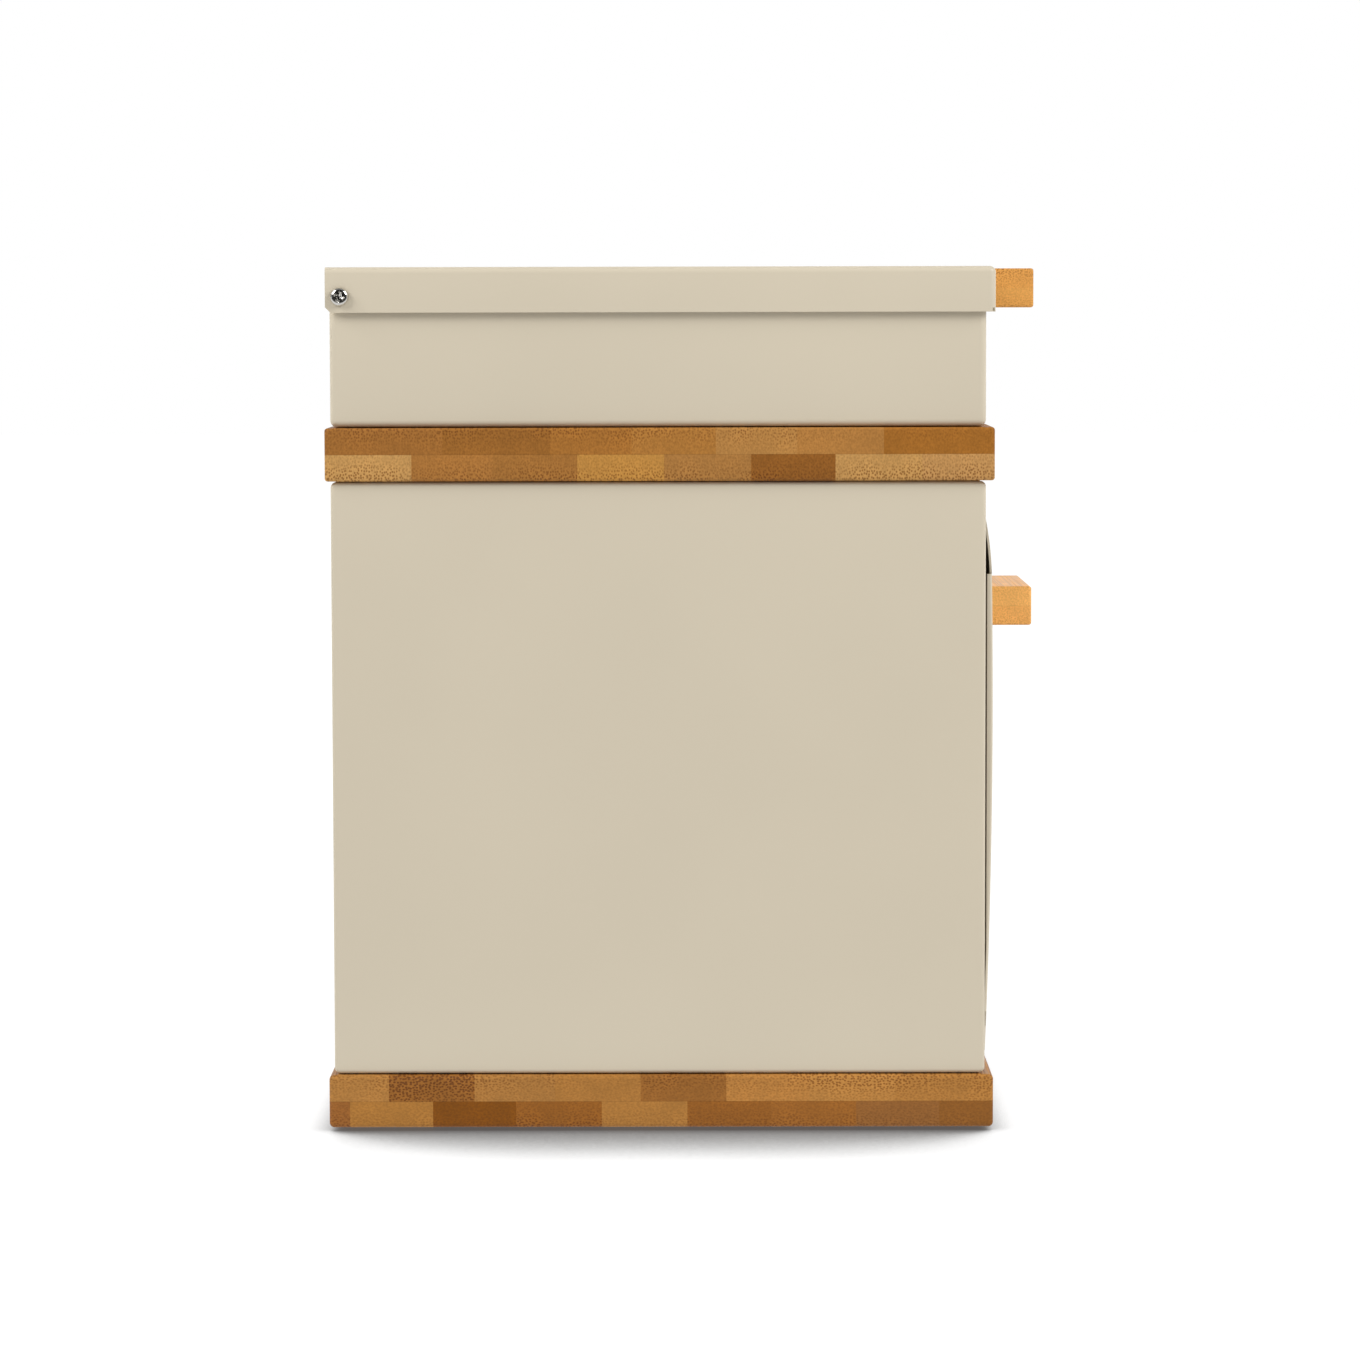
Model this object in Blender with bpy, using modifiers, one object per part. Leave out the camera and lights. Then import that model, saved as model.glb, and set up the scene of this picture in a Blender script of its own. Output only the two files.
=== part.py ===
"""Two-tier bread box: a steel cabinet with a bowed drop-down door on a bamboo base board, a bamboo
shelf board on the cabinet, and a steel tray with a hinged lid on the shelf board.

Metres, +Z up, +X to the right, the front faces -Y. The origin is on the table, under the middle
of the box. The door and the lid are each parented to an empty on their hinge axis.
"""

import math

import bmesh
import bpy
from mathutils import Matrix, Vector

# Overall sizes
BODY_WIDTH = 0.360
BODY_DEPTH = 0.234
CABINET_HEIGHT = 0.213
TRAY_HEIGHT = 0.0541

# Sheet steel
SHEET = 0.0008
FLANGE_DEPTH = 0.010
SIDE_CORNER_RADIUS = 0.002
BEND_RADIUS = 0.0012
HEM_WIDTH = 0.0030
HEM_DEPTH = 0.008
LINTEL_DROP = 0.0084
SILL_RISE = 0.0046
VENT_RADIUS = 0.003
VENT_COUNT = 7
VENT_PITCH = 0.030
VENT_BELOW_TOP = 0.030

# Bamboo boards
BOARD_THICKNESS = 0.019
BOARD_FRONT_OVERHANG = 0.003
BOARD_REAR_OVERHANG = 0.0019
BOARD_SIDE_OVERHANG = 0.002
BOARD_ROUNDING = 0.0012

# Feet
PAD_RADIUS = 0.008
PAD_HEIGHT = 0.001
PAD_INSET = 0.020

# Door
DOOR_SIDE_CLEARANCE = 0.001
DOOR_TOP_CLEARANCE = 0.0014
DOOR_BOTTOM_CLEARANCE = 0.0018
DOOR_BOTTOM_PROUD = 0.00065
DOOR_PEAK_PROUD = 0.00285
DOOR_PEAK_BELOW_TOP = 0.073
DOOR_CURL_LENGTH = 0.025
DOOR_CURL_RADIUS = 0.135
DOOR_FLANGE_BACK = 0.009
DOOR_FLANGE_BELOW_TOP = 0.0225
DOOR_RELIEF_ABOVE_PIN = 0.0039
DOOR_RELIEF_HEIGHT = 0.0054
DOOR_RELIEF_BACK = 0.003
DOOR_TOP_FLANGE_BACK = 0.0088
DOOR_TOP_LIP = 0.010
DOOR_BOTTOM_FLANGE_BACK = 0.0035
DOOR_BOTTOM_FLANGE_INSET = 0.004
DOOR_SKIN_STEPS = 16
DOOR_CURL_STEPS = 5

# Door hinge
PIN_BEHIND_FRONT = 0.005
PIN_ABOVE_DOOR_EDGE = 0.005
PIN_RADIUS = 0.0015
PIN_HEAD_RADIUS = 0.0026
PIN_HEAD_THICKNESS = 0.0008
PIN_PAST_CLIP = 0.0005
CLIP_RADIUS = 0.0032
CLIP_THICKNESS = 0.0006

# Magnetic catch
MAGNET_WIDTH = 0.024
MAGNET_THICKNESS = 0.008
MAGNET_HEIGHT = 0.014
MAGNET_FROM_MIDDLE = 0.120

# Handles
HANDLE_LENGTH = 0.076
HANDLE_REACH = 0.0229
HANDLE_HEIGHT = 0.015
HANDLE_ROUNDING = 0.001
DOOR_HANDLE_BELOW_TOP = 0.035
HANDLE_SCREW_FROM_MIDDLE = 0.025

# Tray and lid
TRAY_RADIUS = 0.0015
RIM_WIDTH = 0.007
LID_ABOVE_RIM = 0.002
LID_FLANGE = 0.0162
LID_FRONT_OVERHANG = 0.0032
LID_REAR_OVERHANG = 0.0013
LID_SIDE_CLEARANCE = 0.0014
LID_RADIUS = 0.0016
LID_CORNER_CUT = 0.002
PIVOT_FROM_LID_REAR = 0.0052
PIVOT_BELOW_LID_TOP = 0.0105
BUMPER_RADIUS = 0.003
BUMPER_BEHIND_FRONT = 0.020

# Screws
SCREW_RADIUS = 0.0015
SCREW_HEAD_RADIUS = 0.0033
SCREW_HEAD_HEIGHT = 0.0022
HANDLE_SCREW_HEAD_HEIGHT = 0.0014
WOOD_SCREW_BITE = 0.010
PILOT_SPARE = 0.001
PIVOT_SCREW_PAST_NUT = 0.002
NUT_ACROSS_FLATS = 0.0055
NUT_THICKNESS = 0.0024
WASHER_RADIUS = 0.0035
BOARD_SCREW_INSET_X = 0.030
BOARD_SCREW_INSET_Y = 0.040
TRAY_SCREW_INSET_X = 0.060

# Fits: GAP is left between pieces that touch, RUNNING between a screw or pin and its hole
GAP = 0.0003
RUNNING = 0.0003

# Levels above the table, and places measured back from the cabinet's front plane
BASE_BOTTOM = PAD_HEIGHT + GAP
BASE_TOP = BASE_BOTTOM + BOARD_THICKNESS
CABINET_BOTTOM = BASE_TOP + GAP
CABINET_TOP = CABINET_BOTTOM + CABINET_HEIGHT
SHELF_BOTTOM = CABINET_TOP + GAP
SHELF_TOP = SHELF_BOTTOM + BOARD_THICKNESS
TRAY_BOTTOM = SHELF_TOP + GAP
TRAY_TOP = TRAY_BOTTOM + TRAY_HEIGHT
LID_TOP = TRAY_TOP + LID_ABOVE_RIM + SHEET
LID_BOTTOM = LID_TOP - LID_FLANGE
HALF_WIDTH = BODY_WIDTH / 2
FRONT_REACH = LID_FRONT_OVERHANG + HANDLE_REACH + GAP
FRONT = (FRONT_REACH - BODY_DEPTH - BOARD_REAR_OVERHANG) / 2
REAR = FRONT + BODY_DEPTH
INNER_HALF = HALF_WIDTH - HEM_WIDTH - GAP
FLOOR_TOP = CABINET_BOTTOM + 2 * SHEET + GAP
CEILING_BOTTOM = CABINET_TOP - 2 * SHEET - GAP
SILL_TOP = FLOOR_TOP - SHEET + SILL_RISE
LINTEL_BOTTOM = CEILING_BOTTOM + SHEET - LINTEL_DROP
DOOR_TOP = LINTEL_BOTTOM - DOOR_TOP_CLEARANCE
DOOR_BOTTOM = SILL_TOP + DOOR_BOTTOM_CLEARANCE
DOOR_HALF = HALF_WIDTH - HEM_WIDTH - DOOR_SIDE_CLEARANCE
DOOR_PEAK = DOOR_TOP - DOOR_PEAK_BELOW_TOP
DOOR_CURL_START = DOOR_TOP - DOOR_CURL_LENGTH
LID_HALF = HALF_WIDTH + LID_SIDE_CLEARANCE + SHEET
HOLE_RADIUS = SCREW_RADIUS + RUNNING
PIN_HOLE_RADIUS = PIN_RADIUS + RUNNING

DOOR_AXIS = Vector((0, FRONT + PIN_BEHIND_FRONT, DOOR_BOTTOM + PIN_ABOVE_DOOR_EDGE))
LID_AXIS = Vector((0, REAR + LID_REAR_OVERHANG - PIVOT_FROM_LID_REAR, LID_TOP - PIVOT_BELOW_LID_TOP))

SIDES = {"left": -1, "right": 1}
ROUND_STEPS = 16
BEND_STEPS = 3
BIG = 0.05
SMALLEST = 0.00001


def new_collection(name):
    collection = bpy.data.collections.new(name)
    bpy.context.scene.collection.children.link(collection)
    return collection


def new_material(name, colour, roughness, metallic=0.0):
    material = bpy.data.materials.new(name)
    material.use_nodes = True
    shader = material.node_tree.nodes["Principled BSDF"]
    shader.inputs["Base Color"].default_value = (*colour, 1)
    shader.inputs["Roughness"].default_value = roughness
    shader.inputs["Metallic"].default_value = metallic
    material.diffuse_color = (*colour, 1)
    return material


def new_body(name, at):
    """An empty at a joint's axis, or at the origin for what stands still."""
    empty = bpy.data.objects.new(name, None)
    parts.objects.link(empty)
    empty.location = at
    return empty


def place(mesh, name, at, body, material):
    """A piece whose mesh is drawn about the world point `at`, carried by a body's empty."""
    piece = bpy.data.objects.new(name, mesh)
    parts.objects.link(piece)
    piece.parent = body
    piece.location = at - body.location
    mesh.materials.append(material)
    return piece


def mesh_of(bm, name):
    mesh = bpy.data.meshes.new(name)
    bm.to_mesh(mesh)
    bm.free()
    return mesh


def box(low, high, name):
    """A box's mesh about its own centre, and that centre. The corners may come in any order."""
    pairs = list(zip(low, high))
    low = Vector([min(pair) for pair in pairs])
    high = Vector([max(pair) for pair in pairs])
    bm = bmesh.new()
    bmesh.ops.create_cube(bm, size=1)
    bmesh.ops.scale(bm, vec=high - low, verts=bm.verts)
    return mesh_of(bm, name), (low + high) / 2


def block(name, low, high, body, material, rounding=0.0):
    mesh, centre = box(low, high, name)
    piece = place(mesh, name, centre, body, material)
    if rounding:
        bevel = piece.modifiers.new("rounding", "BEVEL")
        bevel.width = rounding
        bevel.segments = BEND_STEPS
        bevel.limit_method = "ANGLE"
    return piece


def round_edges(mesh, chosen, radius):
    """Rounds the mesh's edges for which chosen(first end, second end) is true."""
    bm = bmesh.new()
    bm.from_mesh(mesh)
    edges = [edge for edge in bm.edges if chosen(*(vert.co for vert in edge.verts))]
    bmesh.ops.bevel(bm, geom=edges, offset=radius, segments=BEND_STEPS, profile=0.5, affect="EDGES")
    bm.to_mesh(mesh)
    bm.free()


def as_cutter(mesh, name, at):
    cutter = bpy.data.objects.new(name, mesh)
    cutters.objects.link(cutter)
    cutter.location = at
    cutter.hide_render = True
    cutter.display_type = "WIRE"
    return cutter


def combine(piece, other, operation="DIFFERENCE"):
    modifier = piece.modifiers.new(other.name, "BOOLEAN")
    modifier.operation = operation
    modifier.solver = "EXACT"
    modifier.object = other


def cut_box(piece, name, low, high, operation="DIFFERENCE"):
    mesh, centre = box(low, high, name)
    combine(piece, as_cutter(mesh, name, centre), operation)


def along(axis):
    """The turn that lays +Z along a direction."""
    return Vector((0, 0, 1)).rotation_difference(Vector(axis)).to_matrix().to_4x4()


def drill(piece, name, start, end, radius=HOLE_RADIUS):
    """Cuts a round hole between two world points."""
    start, end = Vector(start), Vector(end)
    bm = bmesh.new()
    bmesh.ops.create_cone(
        bm,
        cap_ends=True,
        segments=ROUND_STEPS,
        radius1=radius,
        radius2=radius,
        depth=(end - start).length,
    )
    bmesh.ops.transform(bm, matrix=along(end - start), verts=bm.verts)
    combine(piece, as_cutter(mesh_of(bm, name), name, (start + end) / 2))


def turned(name, profile, at, axis, body, material, closed=False):
    """A turned piece: (radius, height) points down its outer side, its height along an axis."""
    bm = bmesh.new()
    points = [bm.verts.new((radius, 0, height)) for radius, height in profile]
    for first, second in zip(points, points[1:] + points[:1] if closed else points[1:]):
        bm.edges.new((first, second))
    piece = place(mesh_of(bm, name), name, Vector(at), body, material)
    piece.matrix_local = Matrix.Translation(piece.location) @ along(axis)
    screw = piece.modifiers.new("turning", "SCREW")
    screw.steps = ROUND_STEPS
    screw.render_steps = ROUND_STEPS
    screw.use_merge_vertices = True
    screw.merge_threshold = SMALLEST
    return piece


def screw(name, at, axis, length, body, head_height=SCREW_HEAD_HEIGHT):
    """A pan-head screw. `at` is under its head, and its shank runs back along -axis."""
    profile = [
        (0, head_height),
        (SCREW_HEAD_RADIUS * 0.70, head_height * 0.85),
        (SCREW_HEAD_RADIUS, head_height * 0.35),
        (SCREW_HEAD_RADIUS, 0),
        (SCREW_RADIUS, 0),
        (SCREW_RADIUS, SCREW_RADIUS / 2 - length),
        (SCREW_RADIUS / 2, -length),
        (0, -length),
    ]
    return turned(name, profile, at, axis, body, zinc)


def disc(name, radius, thickness, at, axis, body, material):
    """A round pad. `at` is the middle of its lower face."""
    profile = [(0, thickness), (radius, thickness), (radius, 0), (0, 0)]
    return turned(name, profile, at, axis, body, material)


def ring(name, outer, inner, thickness, at, axis, body, material):
    """A washer. `at` is the middle of its lower face."""
    profile = [(outer, thickness), (outer, 0), (inner, 0), (inner, thickness)]
    return turned(name, profile, at, axis, body, material, closed=True)


def corner_places(inset_x, inset_y):
    """(name, x, y) of four places, set in from the corners of the cabinet."""
    for depth_name, y in (("front", FRONT + inset_y), ("rear", REAR - inset_y)):
        for side, sign in SIDES.items():
            yield f"{depth_name}_{side}", sign * (HALF_WIDTH - inset_x), y


def board(name, bottom):
    overhang_x = HALF_WIDTH + BOARD_SIDE_OVERHANG
    low = (-overhang_x, FRONT - BOARD_FRONT_OVERHANG, bottom)
    high = (overhang_x, REAR + BOARD_REAR_OVERHANG, bottom + BOARD_THICKNESS)
    return block(name, low, high, fixed, bamboo, BOARD_ROUNDING)


def base_and_feet():
    base = board("base_board", BASE_BOTTOM)
    bite_end = BASE_TOP - WOOD_SCREW_BITE
    for name, x, y in corner_places(BOARD_SCREW_INSET_X, BOARD_SCREW_INSET_Y):
        under_head = FLOOR_TOP + GAP
        screw(f"base_screw_{name}", (x, y, under_head), (0, 0, 1), under_head - bite_end, fixed)
        drill(base, f"base_pilot_{name}", (x, y, bite_end - PILOT_SPARE), (x, y, BASE_TOP + BIG))
    for name, x, y in corner_places(PAD_INSET, PAD_INSET):
        disc(f"foot_pad_{name}", PAD_RADIUS, PAD_HEIGHT, (x, y, 0), (0, 0, 1), fixed, rubber)


def shelf():
    board_piece = board("shelf_board", SHELF_BOTTOM)
    for name, x, y in corner_places(BOARD_SCREW_INSET_X, BOARD_SCREW_INSET_Y):
        under_head = CEILING_BOTTOM - GAP
        bite_end = SHELF_BOTTOM + WOOD_SCREW_BITE
        screw(f"shelf_screw_{name}", (x, y, under_head), (0, 0, -1), bite_end - under_head, fixed)
        hole = (x, y, SHELF_BOTTOM - BIG), (x, y, bite_end + PILOT_SPARE)
        drill(board_piece, f"shelf_pilot_{name}", *hole)
    for name, x, y in corner_places(TRAY_SCREW_INSET_X, BOARD_SCREW_INSET_Y):
        under_head = TRAY_BOTTOM + SHEET + GAP
        bite_end = SHELF_TOP - WOOD_SCREW_BITE
        screw(f"tray_screw_{name}", (x, y, under_head), (0, 0, 1), under_head - bite_end, fixed)
        hole = (x, y, bite_end - PILOT_SPARE), (x, y, SHELF_TOP + BIG)
        drill(board_piece, f"tray_pilot_{name}", *hole)


def side_panel(side, sign):
    """A pressed side panel: flanges turned in along its top, bottom and rear, a hem down its front."""
    name = f"cabinet_side_{side}"
    outer, flange_edge = sign * HALF_WIDTH, sign * (HALF_WIDTH - FLANGE_DEPTH)
    inner, hem_edge = outer - sign * SHEET, outer - sign * HEM_WIDTH
    low = (flange_edge, FRONT, CABINET_BOTTOM)
    high = (outer, REAR, CABINET_TOP)
    mesh, centre = box(low, high, name)
    face = abs(outer - centre.x) - SMALLEST
    round_edges(mesh, lambda a, b: abs(a.x - b.x) > SMALLEST, SIDE_CORNER_RADIUS)
    round_edges(mesh, lambda a, b: min(sign * a.x, sign * b.x) > face, BEND_RADIUS)
    panel = place(mesh, name, centre, fixed, cream)

    low = (flange_edge - sign * BIG, FRONT + SHEET, CABINET_BOTTOM + SHEET)
    high = (inner, REAR - SHEET, CABINET_TOP - SHEET)
    mesh, centre = box(low, high, f"{name}_inside")
    round_edges(mesh, lambda a, b: abs(a.x - b.x) > SMALLEST, SIDE_CORNER_RADIUS - SHEET)
    combine(panel, as_cutter(mesh, f"{name}_inside", centre))

    clear_y = FRONT + SIDE_CORNER_RADIUS
    low = (flange_edge - sign * BIG, FRONT - BIG, CABINET_BOTTOM - BIG)
    cut_box(panel, f"{name}_front_trim", low, (hem_edge, clear_y, CABINET_TOP + BIG))
    low = (hem_edge, FRONT + SHEET / 2, CABINET_BOTTOM + SHEET / 2)
    high = (hem_edge + sign * SHEET, FRONT + HEM_DEPTH, CABINET_TOP - SHEET / 2)
    cut_box(panel, f"{name}_hem", low, high, "UNION")
    start = (hem_edge - sign * BIG, *DOOR_AXIS.yz)
    end = (inner - sign * SHEET, *DOOR_AXIS.yz)
    drill(panel, f"{name}_pin_hole", start, end, PIN_HOLE_RADIUS)


def cabinet():
    for side, sign in SIDES.items():
        side_panel(side, sign)

    behind = REAR - SIDE_CORNER_RADIUS
    floor = block(
        "cabinet_floor",
        (-INNER_HALF, FRONT, FLOOR_TOP - SHEET),
        (INNER_HALF, behind, FLOOR_TOP),
        fixed,
        cream,
    )
    low = (-INNER_HALF, FRONT, FLOOR_TOP - SHEET)
    cut_box(floor, "sill", low, (INNER_HALF, FRONT + SHEET, SILL_TOP), "UNION")
    ceiling = block(
        "cabinet_ceiling",
        (-INNER_HALF, FRONT, CEILING_BOTTOM),
        (INNER_HALF, behind, CEILING_BOTTOM + SHEET),
        fixed,
        cream,
    )
    low = (-INNER_HALF, FRONT, LINTEL_BOTTOM)
    cut_box(ceiling, "lintel", low, (INNER_HALF, FRONT + SHEET, CEILING_BOTTOM + SHEET), "UNION")
    for name, x, y in corner_places(BOARD_SCREW_INSET_X, BOARD_SCREW_INSET_Y):
        drill(floor, f"floor_hole_{name}", (x, y, FLOOR_TOP - BIG), (x, y, FLOOR_TOP + BIG))
        drill(ceiling, f"ceiling_hole_{name}", (x, y, CEILING_BOTTOM - BIG), (x, y, SHELF_TOP))

    back = block(
        "cabinet_back",
        (-INNER_HALF, behind - SHEET, FLOOR_TOP + GAP),
        (INNER_HALF, behind, CEILING_BOTTOM - GAP),
        fixed,
        cream,
    )
    for number in range(VENT_COUNT):
        x = (number - (VENT_COUNT - 1) / 2) * VENT_PITCH
        z = CABINET_TOP - VENT_BELOW_TOP
        drill(back, f"vent_{number + 1}", (x, REAR - BIG, z), (x, REAR + BIG, z), VENT_RADIUS)


def hinge_and_catch():
    for side, sign in SIDES.items():
        inward = (-sign, 0, 0)
        hem_leg = HALF_WIDTH - HEM_WIDTH + SHEET
        head_play = HEM_WIDTH - 2 * SHEET - PIN_HEAD_THICKNESS
        head = sign * (hem_leg + head_play / 2)
        clip = sign * (DOOR_HALF - SHEET - GAP)
        length = abs(head - clip) + CLIP_THICKNESS + PIN_PAST_CLIP
        profile = [
            (0, PIN_HEAD_THICKNESS),
            (PIN_HEAD_RADIUS, PIN_HEAD_THICKNESS),
            (PIN_HEAD_RADIUS, 0),
            (PIN_RADIUS, 0),
            (PIN_RADIUS, -length),
            (0, -length),
        ]
        at = (head, *DOOR_AXIS.yz)
        turned(f"hinge_pin_{side}", profile, at, (sign, 0, 0), fixed, zinc)
        at = (clip, *DOOR_AXIS.yz)
        clip_sizes = CLIP_RADIUS, PIN_HOLE_RADIUS, CLIP_THICKNESS
        ring(f"hinge_clip_{side}", *clip_sizes, at, inward, fixed, zinc)
        x = sign * MAGNET_FROM_MIDDLE
        top = CEILING_BOTTOM - GAP
        front = FRONT + DOOR_TOP_FLANGE_BACK + GAP
        low = (x - MAGNET_WIDTH / 2, front, top - MAGNET_HEIGHT)
        high = (x + MAGNET_WIDTH / 2, front + MAGNET_THICKNESS, top)
        block(f"catch_magnet_{side}", low, high, fixed, ferrite)


def door_proud(z):
    """How far the door's skin stands in front of the cabinet at a height: a shallow arc, which
    curls back on a tighter one towards the top edge."""
    rise = DOOR_PEAK_PROUD - DOOR_BOTTOM_PROUD
    bow_radius = ((DOOR_PEAK - DOOR_BOTTOM) ** 2 + rise**2) / (2 * rise)
    proud = DOOR_PEAK_PROUD - bow_radius + math.sqrt(bow_radius**2 - (z - DOOR_PEAK) ** 2)
    over = max(0.0, z - DOOR_CURL_START)
    return proud - DOOR_CURL_RADIUS + math.sqrt(DOOR_CURL_RADIUS**2 - over**2)


def door_heights(relief, flange_top):
    """The heights at which the skin bends or its side flange starts or stops, from the bottom."""
    plain = [
        DOOR_BOTTOM + (DOOR_CURL_START - DOOR_BOTTOM) * step / DOOR_SKIN_STEPS
        for step in range(DOOR_SKIN_STEPS)
    ]
    curl = [
        DOOR_CURL_START + DOOR_CURL_LENGTH * step / DOOR_CURL_STEPS
        for step in range(DOOR_CURL_STEPS + 1)
    ]
    fixed_heights = [*relief, flange_top, DOOR_AXIS.z]
    free = [z for z in plain + curl[1:-1] if min(abs(z - kept) for kept in fixed_heights) > SHEET]
    return sorted([*free, *fixed_heights, DOOR_TOP])


def door_panel():
    """The bowed skin, its top channel, its bottom flange, and a flange with a hinge ear on each
    side. A relief slot parts the ear from the flange where both meet the skin."""
    relief = [DOOR_AXIS.z + DOOR_RELIEF_ABOVE_PIN]
    relief.append(relief[0] + DOOR_RELIEF_HEIGHT)
    flange_top = DOOR_TOP - DOOR_FLANGE_BELOW_TOP
    heights = door_heights(relief, flange_top)
    inset = DOOR_HALF - DOOR_BOTTOM_FLANGE_INSET
    columns = [-DOOR_HALF, -inset, inset, DOOR_HALF]

    bm = bmesh.new()

    def point(x, behind, z):
        return bm.verts.new(Vector((x, FRONT + behind, z)) - DOOR_AXIS)

    def strip(first, second):
        for a, b, c, d in zip(first, first[1:], second[1:], second):
            bm.faces.new((a, b, c, d))

    rows = [[point(x, -door_proud(z), z) for x in columns] for z in heights]
    for lower, upper in zip(rows, rows[1:]):
        strip(lower, upper)
    top_back = [point(x, DOOR_TOP_FLANGE_BACK, DOOR_TOP) for x in columns]
    lip = [point(x, DOOR_TOP_FLANGE_BACK, DOOR_TOP - DOOR_TOP_LIP) for x in columns]
    strip(rows[-1], top_back)
    strip(top_back, lip)
    bottom_back = [point(x, DOOR_BOTTOM_FLANGE_BACK, DOOR_BOTTOM) for x in columns[1:3]]
    strip(bottom_back, rows[0][1:3])

    for column in (0, -1):
        x = columns[column]
        edge = [(z, row[column]) for z, row in zip(heights, rows) if z < flange_top + SMALLEST]
        middle = [point(x, DOOR_RELIEF_BACK, z) for z, _ in edge]
        back = [point(x, DOOR_FLANGE_BACK, z) for z, _ in edge[1:]]
        back.insert(0, point(x, PIN_BEHIND_FRONT, DOOR_BOTTOM))
        for low in range(len(edge) - 1):
            high = low + 1
            in_relief = relief[0] - SMALLEST < edge[low][0] < relief[1] - SMALLEST
            if not in_relief:
                bm.faces.new((edge[low][1], edge[high][1], middle[high], middle[low]))
            bm.faces.new((middle[low], middle[high], back[high], back[low]))
    bmesh.ops.recalc_face_normals(bm, faces=bm.faces)
    bm.faces.ensure_lookup_table()
    if bm.faces[0].normal.y > 0:
        bmesh.ops.reverse_faces(bm, faces=bm.faces)

    panel = place(mesh_of(bm, "door_panel"), "door_panel", DOOR_AXIS, door_body, cream)
    wall = panel.modifiers.new("sheet", "SOLIDIFY")
    wall.thickness = SHEET
    wall.offset = -1
    wall.use_even_offset = True
    for side, sign in SIDES.items():
        low = (sign * (DOOR_HALF - 3 * SHEET), *DOOR_AXIS.yz)
        high = (sign * (DOOR_HALF + SHEET), *DOOR_AXIS.yz)
        drill(panel, f"ear_hole_{side}", low, high, PIN_HOLE_RADIUS)
    return panel


def handle(name, body, top, front_face, holder, skin_back):
    """A bamboo bar on a sheet's face, held by two screws from behind the sheet."""
    back = front_face - GAP
    low = (-HANDLE_LENGTH / 2, back - HANDLE_REACH, top - HANDLE_HEIGHT)
    bar = block(name, low, (HANDLE_LENGTH / 2, back, top), body, handle_bamboo, HANDLE_ROUNDING)
    z = top - HANDLE_HEIGHT / 2
    for side, sign in SIDES.items():
        x = sign * HANDLE_SCREW_FROM_MIDDLE
        under_head = skin_back + GAP
        bite_end = back - WOOD_SCREW_BITE
        at = (x, under_head, z)
        length = under_head - bite_end
        screw(f"{name}_screw_{side}", at, (0, 1, 0), length, body, HANDLE_SCREW_HEAD_HEIGHT)
        drill(bar, f"{name}_pilot_{side}", (x, bite_end - PILOT_SPARE, z), (x, back + BIG, z))
        drill(holder, f"{name}_hole_{side}", (x, back, z), (x, under_head, z))


def door():
    panel = door_panel()
    top = DOOR_TOP - DOOR_HANDLE_BELOW_TOP
    behind_bar = [door_proud(top - HANDLE_HEIGHT * share) for share in (0, 0.5, 1)]
    skin_back = FRONT - min(behind_bar) + SHEET
    handle("door_handle", door_body, top, FRONT - max(behind_bar), panel, skin_back)


def tray():
    low = (-HALF_WIDTH, FRONT, TRAY_BOTTOM)
    high = (HALF_WIDTH, REAR, TRAY_TOP)
    mesh, centre = box(low, high, "tray")
    under_rim = TRAY_HEIGHT / 2 - SMALLEST
    round_edges(mesh, lambda a, b: min(a.z, b.z) < under_rim, TRAY_RADIUS)
    piece = place(mesh, "tray", centre, fixed, cream)
    low = (-HALF_WIDTH + SHEET, FRONT + SHEET, TRAY_BOTTOM + SHEET)
    high = (HALF_WIDTH - SHEET, REAR - SHEET, TRAY_TOP - SHEET)
    mesh, centre = box(low, high, "tray_inside")
    round_edges(mesh, lambda a, b: min(a.z, b.z) < under_rim - SHEET, TRAY_RADIUS - SHEET)
    combine(piece, as_cutter(mesh, "tray_inside", centre))
    rim = SHEET + RIM_WIDTH
    low = (-HALF_WIDTH + rim, FRONT + rim, TRAY_TOP - 2 * SHEET)
    cut_box(piece, "tray_mouth", low, (HALF_WIDTH - rim, REAR - rim, TRAY_TOP + BIG))
    for name, x, y in corner_places(TRAY_SCREW_INSET_X, BOARD_SCREW_INSET_Y):
        drill(piece, f"tray_hole_{name}", (x, y, TRAY_BOTTOM - BIG), (x, y, TRAY_BOTTOM + 2 * SHEET))
    for side, sign in SIDES.items():
        axis = LID_AXIS.yz
        start = (sign * (HALF_WIDTH - 2 * SHEET), *axis)
        drill(piece, f"tray_pivot_hole_{side}", start, (sign * (HALF_WIDTH + BIG), *axis))


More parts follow.
